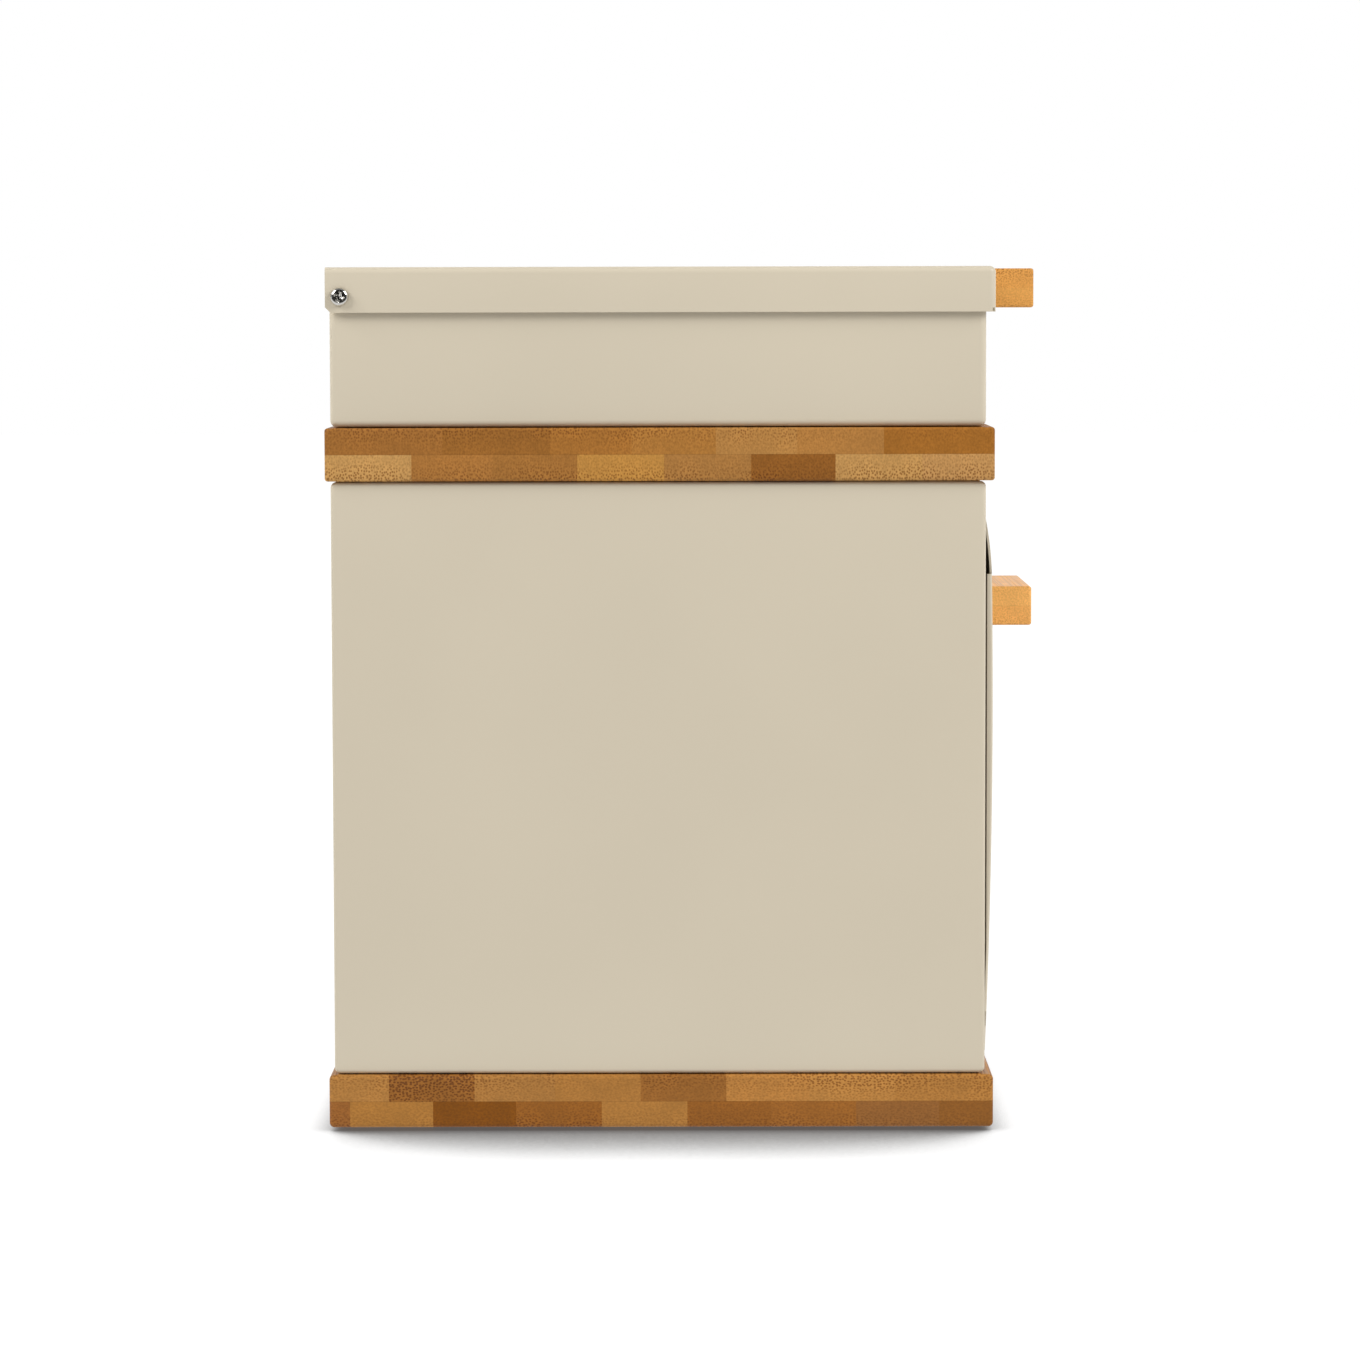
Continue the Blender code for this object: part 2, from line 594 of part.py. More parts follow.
def lid():
    front, rear = FRONT - LID_FRONT_OVERHANG, REAR + LID_REAR_OVERHANG
    low = (-LID_HALF, front, LID_BOTTOM)
    high = (LID_HALF, rear, LID_TOP)
    mesh, centre = box(low, high, "lid")
    for moved in mesh.vertices:
        moved.co += centre - LID_AXIS
    top, back = LID_TOP - LID_AXIS.z - SMALLEST, rear - LID_AXIS.y - SMALLEST

    def folded(a, b):
        upright = abs(a.z - b.z) > SMALLEST and max(a.y, b.y) < back
        along_top = min(a.z, b.z) > top and min(a.y, b.y) < back
        return upright or along_top

    round_edges(mesh, folded, LID_RADIUS)
    piece = place(mesh, "lid", LID_AXIS, lid_body, cream)
    low = (-LID_HALF + SHEET, front + SHEET, LID_BOTTOM - BIG)
    high = (LID_HALF - SHEET, rear + BIG, LID_TOP - SHEET)
    mesh, centre = box(low, high, "lid_inside")
    inside_back = rear + BIG - centre.y - SMALLEST
    inside_top = LID_TOP - SHEET - centre.z - SMALLEST

    def folded_inside(a, b):
        upright = abs(a.z - b.z) > SMALLEST and max(a.y, b.y) < inside_back
        along_top = min(a.z, b.z) > inside_top and min(a.y, b.y) < inside_back
        return upright or along_top

    round_edges(mesh, folded_inside, LID_RADIUS - SHEET)
    combine(piece, as_cutter(mesh, "lid_inside", centre))

    bm = bmesh.new()
    bmesh.ops.create_cube(bm, size=LID_CORNER_CUT * math.sqrt(2))
    bmesh.ops.rotate(bm, matrix=Matrix.Rotation(math.pi / 4, 3, "X"), verts=bm.verts)
    bmesh.ops.scale(bm, vec=(2 * LID_HALF / LID_CORNER_CUT, 1, 1), verts=bm.verts)
    corner = as_cutter(mesh_of(bm, "lid_corner_cut"), "lid_corner_cut", (0, rear, LID_BOTTOM))
    combine(piece, corner)

    for side, sign in SIDES.items():
        axis = LID_AXIS.yz
        start = (sign * HALF_WIDTH, *axis)
        drill(piece, f"lid_pivot_hole_{side}", start, (sign * (LID_HALF + BIG), *axis))
        under_head = sign * (LID_HALF + GAP)
        nut_face = sign * (HALF_WIDTH - SHEET - GAP)
        length = abs(under_head - nut_face) + NUT_THICKNESS + PIVOT_SCREW_PAST_NUT
        outward = (sign, 0, 0)
        screw(f"lid_pivot_screw_{side}", (under_head, *axis), outward, length, fixed)
        thickness = LID_SIDE_CLEARANCE - 2 * GAP
        washer_face = (sign * (HALF_WIDTH + GAP), *axis)
        washer_sizes = WASHER_RADIUS, HOLE_RADIUS, thickness
        ring(f"lid_washer_{side}", *washer_sizes, washer_face, outward, fixed, nylon)
        nut(f"lid_nut_{side}", (nut_face, *axis), (-sign, 0, 0))
        x = sign * (HALF_WIDTH - SHEET - RIM_WIDTH / 2)
        at = (x, FRONT + BUMPER_BEHIND_FRONT, TRAY_TOP + GAP)
        thickness = LID_ABOVE_RIM - 2 * GAP
        disc(f"lid_bumper_{side}", BUMPER_RADIUS, thickness, at, (0, 0, 1), lid_body, rubber)
    handle("lid_handle", lid_body, LID_TOP, front, piece, front + SHEET)


def nut(name, at, axis):
    """A hexagon nut. `at` is the middle of the face that it bears on."""
    bm = bmesh.new()
    across_corners = NUT_ACROSS_FLATS / math.cos(math.pi / 6)
    bmesh.ops.create_cone(
        bm,
        cap_ends=True,
        segments=6,
        radius1=across_corners / 2,
        radius2=across_corners / 2,
        depth=NUT_THICKNESS,
    )
    flat_to_rear = Matrix.Rotation(math.pi / 6, 4, "Z")
    bmesh.ops.transform(bm, matrix=along(axis) @ flat_to_rear, verts=bm.verts)
    middle = Vector(at) + Vector(axis) * NUT_THICKNESS / 2
    piece = place(mesh_of(bm, name), name, middle, fixed, zinc)
    reach = Vector(axis) * NUT_THICKNESS
    drill(piece, f"{name}_bore", middle - reach, middle + reach)


for old in list(bpy.data.objects):
    bpy.data.objects.remove(old, do_unlink=True)
parts = new_collection("bread_box")
cutters = new_collection("cutters")
cream = new_material("cream_powder_coated_steel", (0.62, 0.54, 0.42), 0.42)
bamboo = new_material("board_bamboo", (0.42, 0.22, 0.07), 0.55)
handle_bamboo = new_material("handle_bamboo", (0.70, 0.36, 0.10), 0.5)
zinc = new_material("zinc_plated_steel", (0.60, 0.60, 0.62), 0.25, 1.0)
nylon = new_material("white_nylon", (0.80, 0.80, 0.76), 0.5)
rubber = new_material("clear_grey_rubber", (0.30, 0.30, 0.30), 0.7)
ferrite = new_material("magnet_ferrite", (0.05, 0.05, 0.05), 0.6)
fixed = new_body("bread_box_body", (0, 0, 0))
door_body = new_body("door_hinge_axis", DOOR_AXIS)
lid_body = new_body("lid_hinge_axis", LID_AXIS)
base_and_feet()
cabinet()
hinge_and_catch()
shelf()
door()
tray()
lid()
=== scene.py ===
"""The looks of a two-tier bread box: a powder-coated steel cabinet with a bowed drop-down door on a
bamboo base board, a bamboo shelf board on the cabinet, and a steel tray with a hinged lid on top."""

import bmesh
import bpy
import numpy as np
from mathutils import Matrix, Vector


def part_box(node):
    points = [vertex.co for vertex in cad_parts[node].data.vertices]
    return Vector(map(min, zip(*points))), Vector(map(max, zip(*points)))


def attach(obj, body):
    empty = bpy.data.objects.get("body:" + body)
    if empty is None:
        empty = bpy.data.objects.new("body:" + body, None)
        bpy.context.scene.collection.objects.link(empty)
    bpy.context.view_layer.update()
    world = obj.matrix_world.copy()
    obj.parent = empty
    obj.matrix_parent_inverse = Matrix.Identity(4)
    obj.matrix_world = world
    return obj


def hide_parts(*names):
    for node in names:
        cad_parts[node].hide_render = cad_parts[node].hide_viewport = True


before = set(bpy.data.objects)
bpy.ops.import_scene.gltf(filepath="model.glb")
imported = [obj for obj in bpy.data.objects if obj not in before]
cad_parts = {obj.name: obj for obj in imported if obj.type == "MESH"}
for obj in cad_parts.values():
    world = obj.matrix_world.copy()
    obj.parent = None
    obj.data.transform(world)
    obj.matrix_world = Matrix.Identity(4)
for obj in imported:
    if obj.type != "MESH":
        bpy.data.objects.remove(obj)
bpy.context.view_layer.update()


# The studio: a white light table before a white background. The dome that fills the shadows is
# dimmer than the background, and two square softboxes stand to the rear and to the front of the
# box's left side. Black flags that only gloss sees keep the plating dark.


def add_node(tree, kind, *inputs, **settings):
    """Adds a shader node. inputs feed its sockets in order, or by name where one is a dictionary:
    each is a value, or the node or socket that feeds it. settings are its properties, and for a
    colour ramp its stops and their interpolation."""
    node = tree.nodes.new(f"ShaderNode{kind}")
    for name, value in settings.items():
        if name == "stops":
            ramp = node.color_ramp
            ramp.elements.remove(ramp.elements[-1])
            for number, (position, stop_colour) in enumerate(value):
                stop = ramp.elements.new(position) if number else ramp.elements[0]
                stop.position = position
                stop.color = stop_colour
        else:
            setattr(node.color_ramp if name == "interpolation" else node, name, value)
    feeds = {}
    for number, value in enumerate(inputs):
        feeds.update(value if isinstance(value, dict) else {number: value})
    for key, value in feeds.items():
        if isinstance(key, int):
            socket = node.inputs[key]
        else:
            socket = next(s for s in node.inputs if s.enabled and s.name == key)
        if isinstance(value, bpy.types.Node):
            value = next(s for s in value.outputs if s.enabled)
        if isinstance(value, bpy.types.NodeSocket):
            tree.links.new(value, socket)
        elif socket.type == "RGBA":
            socket.default_value = (*value, 1.0)
        else:
            socket.default_value = value
    return node


def new_material(name, settings):
    """A material with one Principled BSDF, and its node tree and shader."""
    material = bpy.data.materials.new(name)
    material.use_nodes = True
    tree = material.node_tree
    shader = tree.nodes["Principled BSDF"]
    for socket, value in settings.items():
        shader.inputs[socket].default_value = (*value, 1.0) if socket.endswith("Color") else value
    return material, tree, shader


def flat_card(name, corners, material):
    """A flat four-cornered card that belongs to the studio, not to the box."""
    mesh = bpy.data.meshes.new(name)
    mesh.from_pydata(corners, [], [(0, 1, 2, 3)])
    mesh.materials.append(material)
    card = bpy.data.objects.new(name, mesh)
    bpy.context.scene.collection.objects.link(card)
    return card


bpy.context.scene.view_settings.view_transform = "Standard"
world = bpy.data.worlds.new("white_dome")
bpy.context.scene.world = world
world.use_nodes = True
sky = world.node_tree.nodes["Background"]
sky.inputs["Color"].default_value = (1.0, 1.0, 1.0, 1.0)
BACKGROUND = 1.0
FILL = 0.28
seen = add_node(world.node_tree, "LightPath").outputs["Is Camera Ray"]
strength = add_node(world.node_tree, "MapRange", seen, 0.0, 1.0, FILL, BACKGROUND)
world.node_tree.links.new(strength.outputs[0], sky.inputs["Strength"])

# The table is opal acrylic lit from below, as white as the background. A soft contact shadow is
# painted into the glow that the camera sees: the glow falls with the share of the light from above
# and behind, within REACH, that the box takes away, and close to the box also with the share of all
# light that is taken within TIGHT_REACH. A share outside the two limits has no further effect.
# TABLE_LIGHT is what the table gives to everything but the camera.

FLOOR_HALF = 9.0
REACH = 0.10
WIDE_LIMITS = (0.36, 0.66)
WIDE_DARKEST = 0.16
TIGHT_REACH = 0.010
TIGHT_LIMITS = (0.5, 0.95)
TIGHT_DARKEST = 0.55
TABLE_GLOW = 0.99
TABLE_LIGHT = 0.8
TABLE_GREY = 0.05
SHADE_TURN = np.radians(30)

table_look = {
    "Base Color": (TABLE_GREY, TABLE_GREY, TABLE_GREY),
    "Emission Color": (1.0, 1.0, 1.0),
    "Roughness": 0.9,
}
table_with_painted_shadow, table_tree, table_shader = new_material("light_table_with_painted_shadow", table_look)
behind = add_node(table_tree, "CombineXYZ", np.cos(SHADE_TURN), 0.0, np.sin(SHADE_TURN))
reach = {"Distance": REACH, "Normal": behind}
open_share = add_node(table_tree, "AmbientOcclusion", reach, samples=16).outputs["AO"]
tight_share = add_node(table_tree, "AmbientOcclusion", {"Distance": TIGHT_REACH}, samples=8)
tight_share = tight_share.outputs["AO"]
wide_shade = add_node(table_tree, "MapRange", open_share, *WIDE_LIMITS, WIDE_DARKEST, TABLE_GLOW)
tight_shade = add_node(table_tree, "MapRange", tight_share, *TIGHT_LIMITS, TIGHT_DARKEST, 1.0)
# The painted contact shadow: the two shades multiplied, which becomes the table's glow as the camera
# sees it.
painted_contact_shadow = add_node(table_tree, "Math", wide_shade, tight_shade, operation="MULTIPLY")
in_view = add_node(table_tree, "LightPath").outputs["Is Camera Ray"]
glow_and_painted_shadow = add_node(table_tree, "Mix", {"Factor": in_view, "A": TABLE_LIGHT, "B": painted_contact_shadow})
table_tree.links.new(glow_and_painted_shadow.outputs["Result"], table_shader.inputs["Emission Strength"])
signs = ((-1, -1), (1, -1), (1, 1), (-1, 1))
flat_card("floor", [(x * FLOOR_HALF, y * FLOOR_HALF, 0) for x, y in signs], table_with_painted_shadow)

# The background paper, hung behind the box. It is there for its light and its reflection only.

PAPER_BEHIND = 2.5
PAPER_SIZE = 3.0

paper_look = {"Emission Color": (1.0, 1.0, 1.0), "Emission Strength": 0.7}
paper, _, _ = new_material("lit_background_paper", paper_look)
hung = ((-PAPER_SIZE, 0), (-PAPER_SIZE, PAPER_SIZE), (PAPER_SIZE, PAPER_SIZE), (PAPER_SIZE, 0))
background = flat_card("background", [(PAPER_BEHIND, y, z) for y, z in hung], paper)
background.visible_camera = False
background.visible_shadow = False

# The two flags, of black velvet: one stands behind the camera, and one lies just over the table
# before it, wide at the camera's end and narrow at the box's.

FLAG_AT = -3.2
FLAG_HALF = 5.0
FLAG_HEIGHT = 6.0
LYING_END = -0.5
LYING_END_HALF = 2.0
LYING_LIFT = 0.01

velvet_look = {"Base Color": (0.01, 0.01, 0.01), "Roughness": 1.0}
velvet, _, _ = new_material("black_velvet_flag", velvet_look)
foot = [(FLAG_AT, -FLAG_HALF, 0.0), (FLAG_AT, FLAG_HALF, 0.0)]
head = [(FLAG_AT, FLAG_HALF, FLAG_HEIGHT), (FLAG_AT, -FLAG_HALF, FLAG_HEIGHT)]
wide = [(FLAG_AT, -FLAG_HALF, LYING_LIFT), (FLAG_AT, FLAG_HALF, LYING_LIFT)]
narrow = [(LYING_END, LYING_END_HALF, LYING_LIFT), (LYING_END, -LYING_END_HALF, LYING_LIFT)]
for name, corners in (("upright_flag", foot + head), ("lying_flag", wide + narrow)):
    flag = flat_card(name, corners, velvet)
    flag.visible_camera = False
    flag.visible_diffuse = False
    flag.visible_shadow = False
    flag.visible_transmission = False


SOFTBOX_SIZE = 1.1
BOX_MIDDLE = Vector((0, 0, 0.2))


def softbox(name, at, watts):
    """A square area light turned to the middle of the box."""
    light = bpy.data.lights.new(name, "AREA")
    light.shape = "SQUARE"
    light.size = SOFTBOX_SIZE
    light.energy = watts
    lamp = bpy.data.objects.new(name, light)
    lamp.location = at
    lamp.rotation_euler = (BOX_MIDDLE - Vector(at)).to_track_quat("-Z", "Y").to_euler()
    bpy.context.scene.collection.objects.link(lamp)


softbox("rear_softbox", (-0.95, 1.55, 1.4), 27.0)
softbox("front_softbox", (-0.95, -1.55, 1.4), 30.0)

# The camera stands at the lid's height before the box's left side, and looks a few degrees down
# through a long lens. Its angles are in radians.

CAMERA_AT = (-1.93127, -0.00106, 0.29829)
CAMERA_DOWN = 0.07729
CAMERA_TURN = 0.00324
CAMERA_ROLL = -0.00215
LENS_MM = 129.95
camera_data = bpy.data.cameras.new("camera")
camera_data.sensor_width = 36
camera_data.lens = LENS_MM
camera = bpy.data.objects.new("camera", camera_data)
level = np.cos(CAMERA_DOWN)
ahead = Vector((level * np.cos(CAMERA_TURN), level * np.sin(CAMERA_TURN), -np.sin(CAMERA_DOWN)))
right = ahead.cross(Vector((0, 0, 1))).normalized()
up = right.cross(ahead)
tilted_right = right * np.cos(CAMERA_ROLL) + up * np.sin(CAMERA_ROLL)
tilted_up = up * np.cos(CAMERA_ROLL) - right * np.sin(CAMERA_ROLL)
turn = Matrix((tilted_right, tilted_up, -ahead)).transposed().to_4x4()
camera.matrix_world = Matrix.Translation(CAMERA_AT) @ turn
bpy.context.scene.collection.objects.link(camera)
bpy.context.scene.camera = camera


# The two boards: bamboo laminated from 30 mm strips, side by side in two plies whose joints are
# staggered, planed, eased on every edge and rubbed with oil. The strips run across the box, so the
# sides show the ends of the stems, speckled with fibre bundles, and the front shows long grain.

EDGE_STEPS = 6
SMALLEST_EDGE = 0.000001
SMALLEST_CORNER = 0.0001
SHARP_ANGLE = 0.6


def arc(centre, radius, start, end, steps=EDGE_STEPS):
    """Points centre + radius (cos a, sin a), a running from start to end degrees."""
    angles = np.radians(np.linspace(start, end, steps + 1))
    return np.array(centre) + radius * np.stack([np.cos(angles), np.sin(angles)], axis=1)


def round_outline(low, high, corner, profile):
    """Points (profile row, place on the outline, 3): (inset, height) rows carried round the
    rectangle low-high. At inset i a corner has radius r = corner - i, or the smallest corner if
    that is more, its centre lies i + r in from both edges, and the point is that centre +
    r (cos a, sin a)."""
    inset, height = profile[:, :1], profile[:, 1:]
    quarter = np.linspace(0, np.pi / 2, EDGE_STEPS + 1)
    angle = np.concatenate([quarter + number * np.pi / 2 for number in range(4)])
    side_x = np.repeat([1, -1, -1, 1], EDGE_STEPS + 1)
    side_y = np.repeat([1, 1, -1, -1], EDGE_STEPS + 1)
    radius = np.maximum(corner - inset, SMALLEST_CORNER)
    middle = (np.array(low) + np.array(high)) / 2
    half = (np.array(high) - np.array(low)) / 2
    x = middle[0] + side_x * (half[0] - inset - radius) + radius * np.cos(angle)
    y = middle[1] + side_y * (half[1] - inset - radius) + radius * np.sin(angle)
    return np.stack([x, y, height + 0 * angle], axis=-1)


def quads_of(points, keep=None, closed=False, capped=()):
    """The points in one list and the faces between neighbours on their grid. keep masks the
    faces, closed joins the last column to the first, and capped rows get one flat face."""
    rows, columns = points.shape[:2]
    index = np.arange(rows * columns).reshape(rows, columns)
    ring = np.hstack([index, index[:, :1]]) if closed else index
    corners = (ring[:-1, :-1], ring[:-1, 1:], ring[1:, 1:], ring[1:, :-1])
    quads = np.stack(corners, axis=-1)
    if keep is not None:
        quads = quads[keep]
    faces = quads.reshape(-1, 4).tolist()
    faces.extend(index[row].tolist() for row in capped)
    return points.reshape(-1, 3), faces


def new_piece(name, grids, material, body, nodes):
    """One object from one or more (points, faces), with doubles merged, normals pointing out,
    smooth shading and sharp folds. It rides on its body and stands for the CAD nodes."""
    mesh = bpy.data.meshes.new(name)
    first = np.cumsum([0] + [len(points) for points, _ in grids])
    faces = [
        [corner + start for corner in face]
        for start, (_, each) in zip(first, grids)
        for face in each
    ]
    mesh.from_pydata(np.concatenate([points for points, _ in grids]), [], faces)
    bm = bmesh.new()
    bm.from_mesh(mesh)
    bmesh.ops.remove_doubles(bm, verts=bm.verts, dist=SMALLEST_EDGE)
    bmesh.ops.delete(bm, geom=[vert for vert in bm.verts if not vert.link_faces], context="VERTS")
    bmesh.ops.recalc_face_normals(bm, faces=bm.faces)
    bm.to_mesh(mesh)
    bm.free()
    mesh.shade_smooth()
    mesh.set_sharp_from_angle(angle=SHARP_ANGLE)
    mesh.materials.append(material)
    piece = bpy.data.objects.new(name, mesh)
    bpy.context.scene.collection.objects.link(piece)
    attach(piece, body)
    if nodes:
        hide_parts(*nodes)
    return piece


def rounded_bar(low, high, rounding):
    """A bar with every edge rounded: profile in along the underside, round, up and in again."""
    shoulder = 2 * rounding
    bottom = arc((rounding, low[2] + rounding), rounding, 270, 180)
    top = arc((rounding, high[2] - rounding), rounding, 180, 90)
    profile = np.vstack([[(shoulder, low[2])], bottom, top, [(shoulder, high[2])]])
    points = round_outline(low[:2], high[:2], rounding, profile)
    return quads_of(points, closed=True, capped=(0, -1))


# Bamboo, split, planed and oiled: tan strips of uneven tone, dark fibre bundles about a millimetre
# apart that crowd towards the outer faces, and a dull sheen. On long faces the same bundles draw
# out into streaks, crossed every quarter of a metre by the darker ring of a stem's knot. A dot is
# full to the first of DOT_EDGE's shares of the bundles' spacing, and gone at the second.

STREAK_LENGTH = 0.055
CLOUD_SIZE = 0.012
KNOT_PITCH = 0.26
KNOT_EDGE = (0.0006, 0.0022)
KNOT_SHADE = 0.74
GLUE_LINE = 0.00022
DOT_EDGE = (0.16, 0.46)
FLESH_TINT = (1.07, 1.06, 1.01)
STRAND_TINT = (0.58, 0.48, 0.36)
PIT_DEPTH = 0.00008


def to_linear(colour):
    """Linear red, green and blue of an sRGB hex colour: c / 12.92 up to 0.04045, and above it
    ((c + 0.055) / 1.055) ^ 2.4."""
    parts = np.array([int(colour[at : at + 2], 16) for at in (0, 2, 4)]) / 255
    return np.where(parts <= 0.04045, parts / 12.92, ((parts + 0.055) / 1.055) ** 2.4)


def bamboo(name, rear, middle, ply, upper, lower, pitch, seam=0.84):
    """upper and lower list a ply's strips from the rear: (width in mm, colour, strength of its
    speckle). A strip starts where rear - y passes the widths of those behind it. middle is the
    height of the glue line and ply a ply's thickness. pitch is the bundles' spacing in depth and
    height, and seam the share of the colour that is left at the glue line. Each map below takes
    the middle range of a pattern to the shares of tone, speckle or gloss that it stands for."""
    material, tree, shader = new_material(name, {"Specular IOR Level": 0.2})
    place = add_node(tree, "TexCoord").outputs["Object"]
    xyz = add_node(tree, "SeparateXYZ", place)
    x, y, z = (xyz.outputs[letter] for letter in "XYZ")
    smooth = {"interpolation_type": "SMOOTHSTEP"}

    is_upper = add_node(tree, "Math", z, middle, operation="GREATER_THAN")
    inward = add_node(tree, "Math", rear, y, operation="SUBTRACT")
    looks = []
    for strips in (lower, upper):
        widths = np.array([width for width, _, _ in strips]) / 1000
        starts = (np.cumsum(widths) - widths) / widths.sum()
        tints = [(*to_linear(tint), strength) for _, tint, strength in strips]
        stops = list(zip(starts, tints))
        share = add_node(tree, "Math", inward, widths.sum(), operation="DIVIDE")
        looks.append(add_node(tree, "ValToRGB", share, stops=stops, interpolation="CONSTANT"))
    low, high = looks
    tones = {"Factor": is_upper, "A": low.outputs["Color"], "B": high.outputs["Color"]}
    tone = add_node(tree, "Mix", tones, data_type="RGBA")
    strengths = {"Factor": is_upper, "A": low.outputs["Alpha"], "B": high.outputs["Alpha"]}
    strength = add_node(tree, "Mix", strengths)

    # The bundles: cells across the stem, bent a little along it, and streaks of the same spacing.
    stem = add_node(tree, "Mapping", {"Vector": place, "Scale": (1 / STREAK_LENGTH, 0.0, 0.0)})
    bend = add_node(tree, "TexNoise", {"Vector": stem, "Scale": 1.0, "Detail": 0.0})
    depth = add_node(tree, "Math", y, pitch[0], operation="DIVIDE")
    height = add_node(tree, "Math", z, pitch[1], operation="DIVIDE")
    section = add_node(tree, "CombineXYZ", depth, height)
    section = add_node(tree, "VectorMath", section, bend.outputs["Color"], operation="ADD")
    cells = {"Vector": section, "Scale": 1.0, "Randomness": 0.8}
    bundle = add_node(tree, "TexVoronoi", cells, voronoi_dimensions="2D")
    dot = add_node(tree, "MapRange", bundle.outputs["Distance"], *DOT_EDGE, 1.0, 0.0, **smooth)
    grain_size = (1 / STREAK_LENGTH, 1 / pitch[0], 1 / pitch[1])
    stretched = add_node(tree, "Mapping", {"Vector": place, "Scale": grain_size})
    fibre = add_node(tree, "TexNoise", {"Vector": stretched, "Scale": 1.3, "Detail": 2.0})
    broad = add_node(tree, "TexNoise", {"Vector": place, "Scale": 1 / CLOUD_SIZE, "Detail": 1.0})
    fibre, broad = fibre.outputs[0], broad.outputs[0]

    # The speckle is stronger towards a ply's outer face and in patches, and then tints the strip.
    from_middle = add_node(tree, "Math", z, middle, operation="SUBTRACT")
    from_middle = add_node(tree, "Math", from_middle, operation="ABSOLUTE")
    crowd = add_node(tree, "MapRange", from_middle, 0.1 * ply, ply, 0.30, 1.0, **smooth)
    patchy = add_node(tree, "MapRange", broad, 0.35, 0.65, 0.55, 1.15, **smooth)
    speckle = strength
    for factor in (patchy, crowd, dot):
        speckle = add_node(tree, "Math", speckle, factor, operation="MULTIPLY")
    flesh = add_node(tree, "VectorMath", tone, FLESH_TINT, operation="MULTIPLY")
    strand = add_node(tree, "VectorMath", tone, STRAND_TINT, operation="MULTIPLY")
    colour = add_node(tree, "Mix", {"Factor": speckle, "A": flesh, "B": strand}, data_type="RGBA")
    fine = add_node(tree, "MapRange", fibre, 0.3, 0.7, 0.90, 1.10, **smooth)
    cloud = add_node(tree, "MapRange", broad, 0.25, 0.75, 0.93, 1.06, **smooth)

    # Each tone of strip has its knots at a place of its own.
    chance = add_node(tree, "TexWhiteNoise", {"Vector": tone})
    knot = add_node(tree, "Math", x, KNOT_PITCH, operation="DIVIDE")
    knot = add_node(tree, "Math", knot, chance, operation="ADD")
    knot = add_node(tree, "Math", knot, operation="FRACT")
    knot = add_node(tree, "Math", knot, 0.5, operation="SUBTRACT")
    knot = add_node(tree, "Math", knot, operation="ABSOLUTE")
    knot = add_node(tree, "Math", knot, KNOT_PITCH, operation="MULTIPLY")
    knot = add_node(tree, "MapRange", knot, *KNOT_EDGE, KNOT_SHADE, 1.0, **smooth)
    glue = add_node(tree, "MapRange", from_middle, 0.3 * GLUE_LINE, GLUE_LINE, seam, 1.0, **smooth)
    for factor in (fine, cloud, knot, glue):
        colour = add_node(tree, "VectorMath", colour, factor, operation="MULTIPLY")
    tree.links.new(colour.outputs["Vector"], shader.inputs["Base Color"])

    worn = add_node(tree, "MapRange", fibre, 0.3, 0.7, 0.42, 0.56, **smooth)
    tree.links.new(worn.outputs[0], shader.inputs["Roughness"])
    pits = add_node(tree, "Math", speckle, -1.0, operation="MULTIPLY")
    bump = add_node(tree, "Bump", {"Height": pits, "Strength": 0.5, "Distance": PIT_DEPTH})
    tree.links.new(bump.outputs["Normal"], shader.inputs["Normal"])
    return material


# How strongly a strip is speckled, from the stem's inner flesh to its outer skin.

FAINT, PLAIN, BOLD, STARK = 0.4, 0.9, 1.3, 4.5
BASE_ROUNDING = 0.0017
BASE_PITCH = (0.0012, 0.0009)
SHELF_ROUNDING = 0.0011
SHELF_PITCH = (0.0009, 0.0012)

board_low, board_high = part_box("base_board")
board_middle = (board_low[2] + board_high[2]) / 2
base_bamboo = bamboo(
    "oiled_laminated_bamboo_base",
    board_high[1],
    board_middle,
    board_high[2] - board_middle,
    [
        (21.3, "ae7a3d", PLAIN),
        (30.3, "945f26", STARK),
        (29.2, "a8753a", PLAIN),
        (31.0, "a77336", FAINT),
        (30.3, "956129", PLAIN),
        (30.3, "b47c3c", PLAIN),
        (30.7, "b47e3e", BOLD),
        (36.0, "ae7839", BOLD),
    ],
    [
        (7.2, "98602a", PLAIN),
        (30.0, "a97434", FAINT),
        (30.0, "804a06", FAINT),
        (30.3, "935b1e", PLAIN),
        (30.7, "a87436", FAINT),
        (30.3, "935b1f", PLAIN),
        (30.3, "9a6124", PLAIN),
        (30.3, "93602d", PLAIN),
        (20.0, "8b5821", FAINT),
    ],
    BASE_PITCH,
)
base_grid = rounded_bar(board_low, board_high, BASE_ROUNDING)
new_piece("base_board_planed", [base_grid], base_bamboo, "cabinet", ["base_board"])

shelf_low, shelf_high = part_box("shelf_board")
shelf_middle = (shelf_low[2] + shelf_high[2]) / 2
shelf_bamboo = bamboo(
    "oiled_laminated_bamboo_shelf",
    shelf_high[1],
    shelf_middle,
    shelf_high[2] - shelf_middle,
    [
        (41.8, "9c672d", PLAIN),
        (37.9, "966227", PLAIN),
        (28.9, "a26b2c", PLAIN),
        (30.0, "a97333", PLAIN),
        (29.6, "af7d41", PLAIN),
        (30.4, "a97539", FAINT),
        (41.0, "9c6422", FAINT),
    ],
    [
        (30.4, "c09256", BOLD),
        (29.3, "a67034", PLAIN),
        (30.4, "a06c31", PLAIN),
        (30.7, "b8843e", PLAIN),
        (30.7, "a7753b", PLAIN),
        (30.4, "8e591f", PLAIN),
        (30.4, "bc8e52", BOLD),
        (28.0, "ba8b53", BOLD),
    ],
    SHELF_PITCH,
)
shelf_grid = rounded_bar(shelf_low, shelf_high, SHELF_ROUNDING)
new_piece(
    "shelf_board_planed", [shelf_grid], shelf_bamboo, "cabinet", ["shelf_board"]
)


# The four foot pads and the lid's two bumpers: small moulded rubber discs with a rounded edge,
# stuck under the base board and on the lid's rim. They keep the box off the table and the lid quiet.

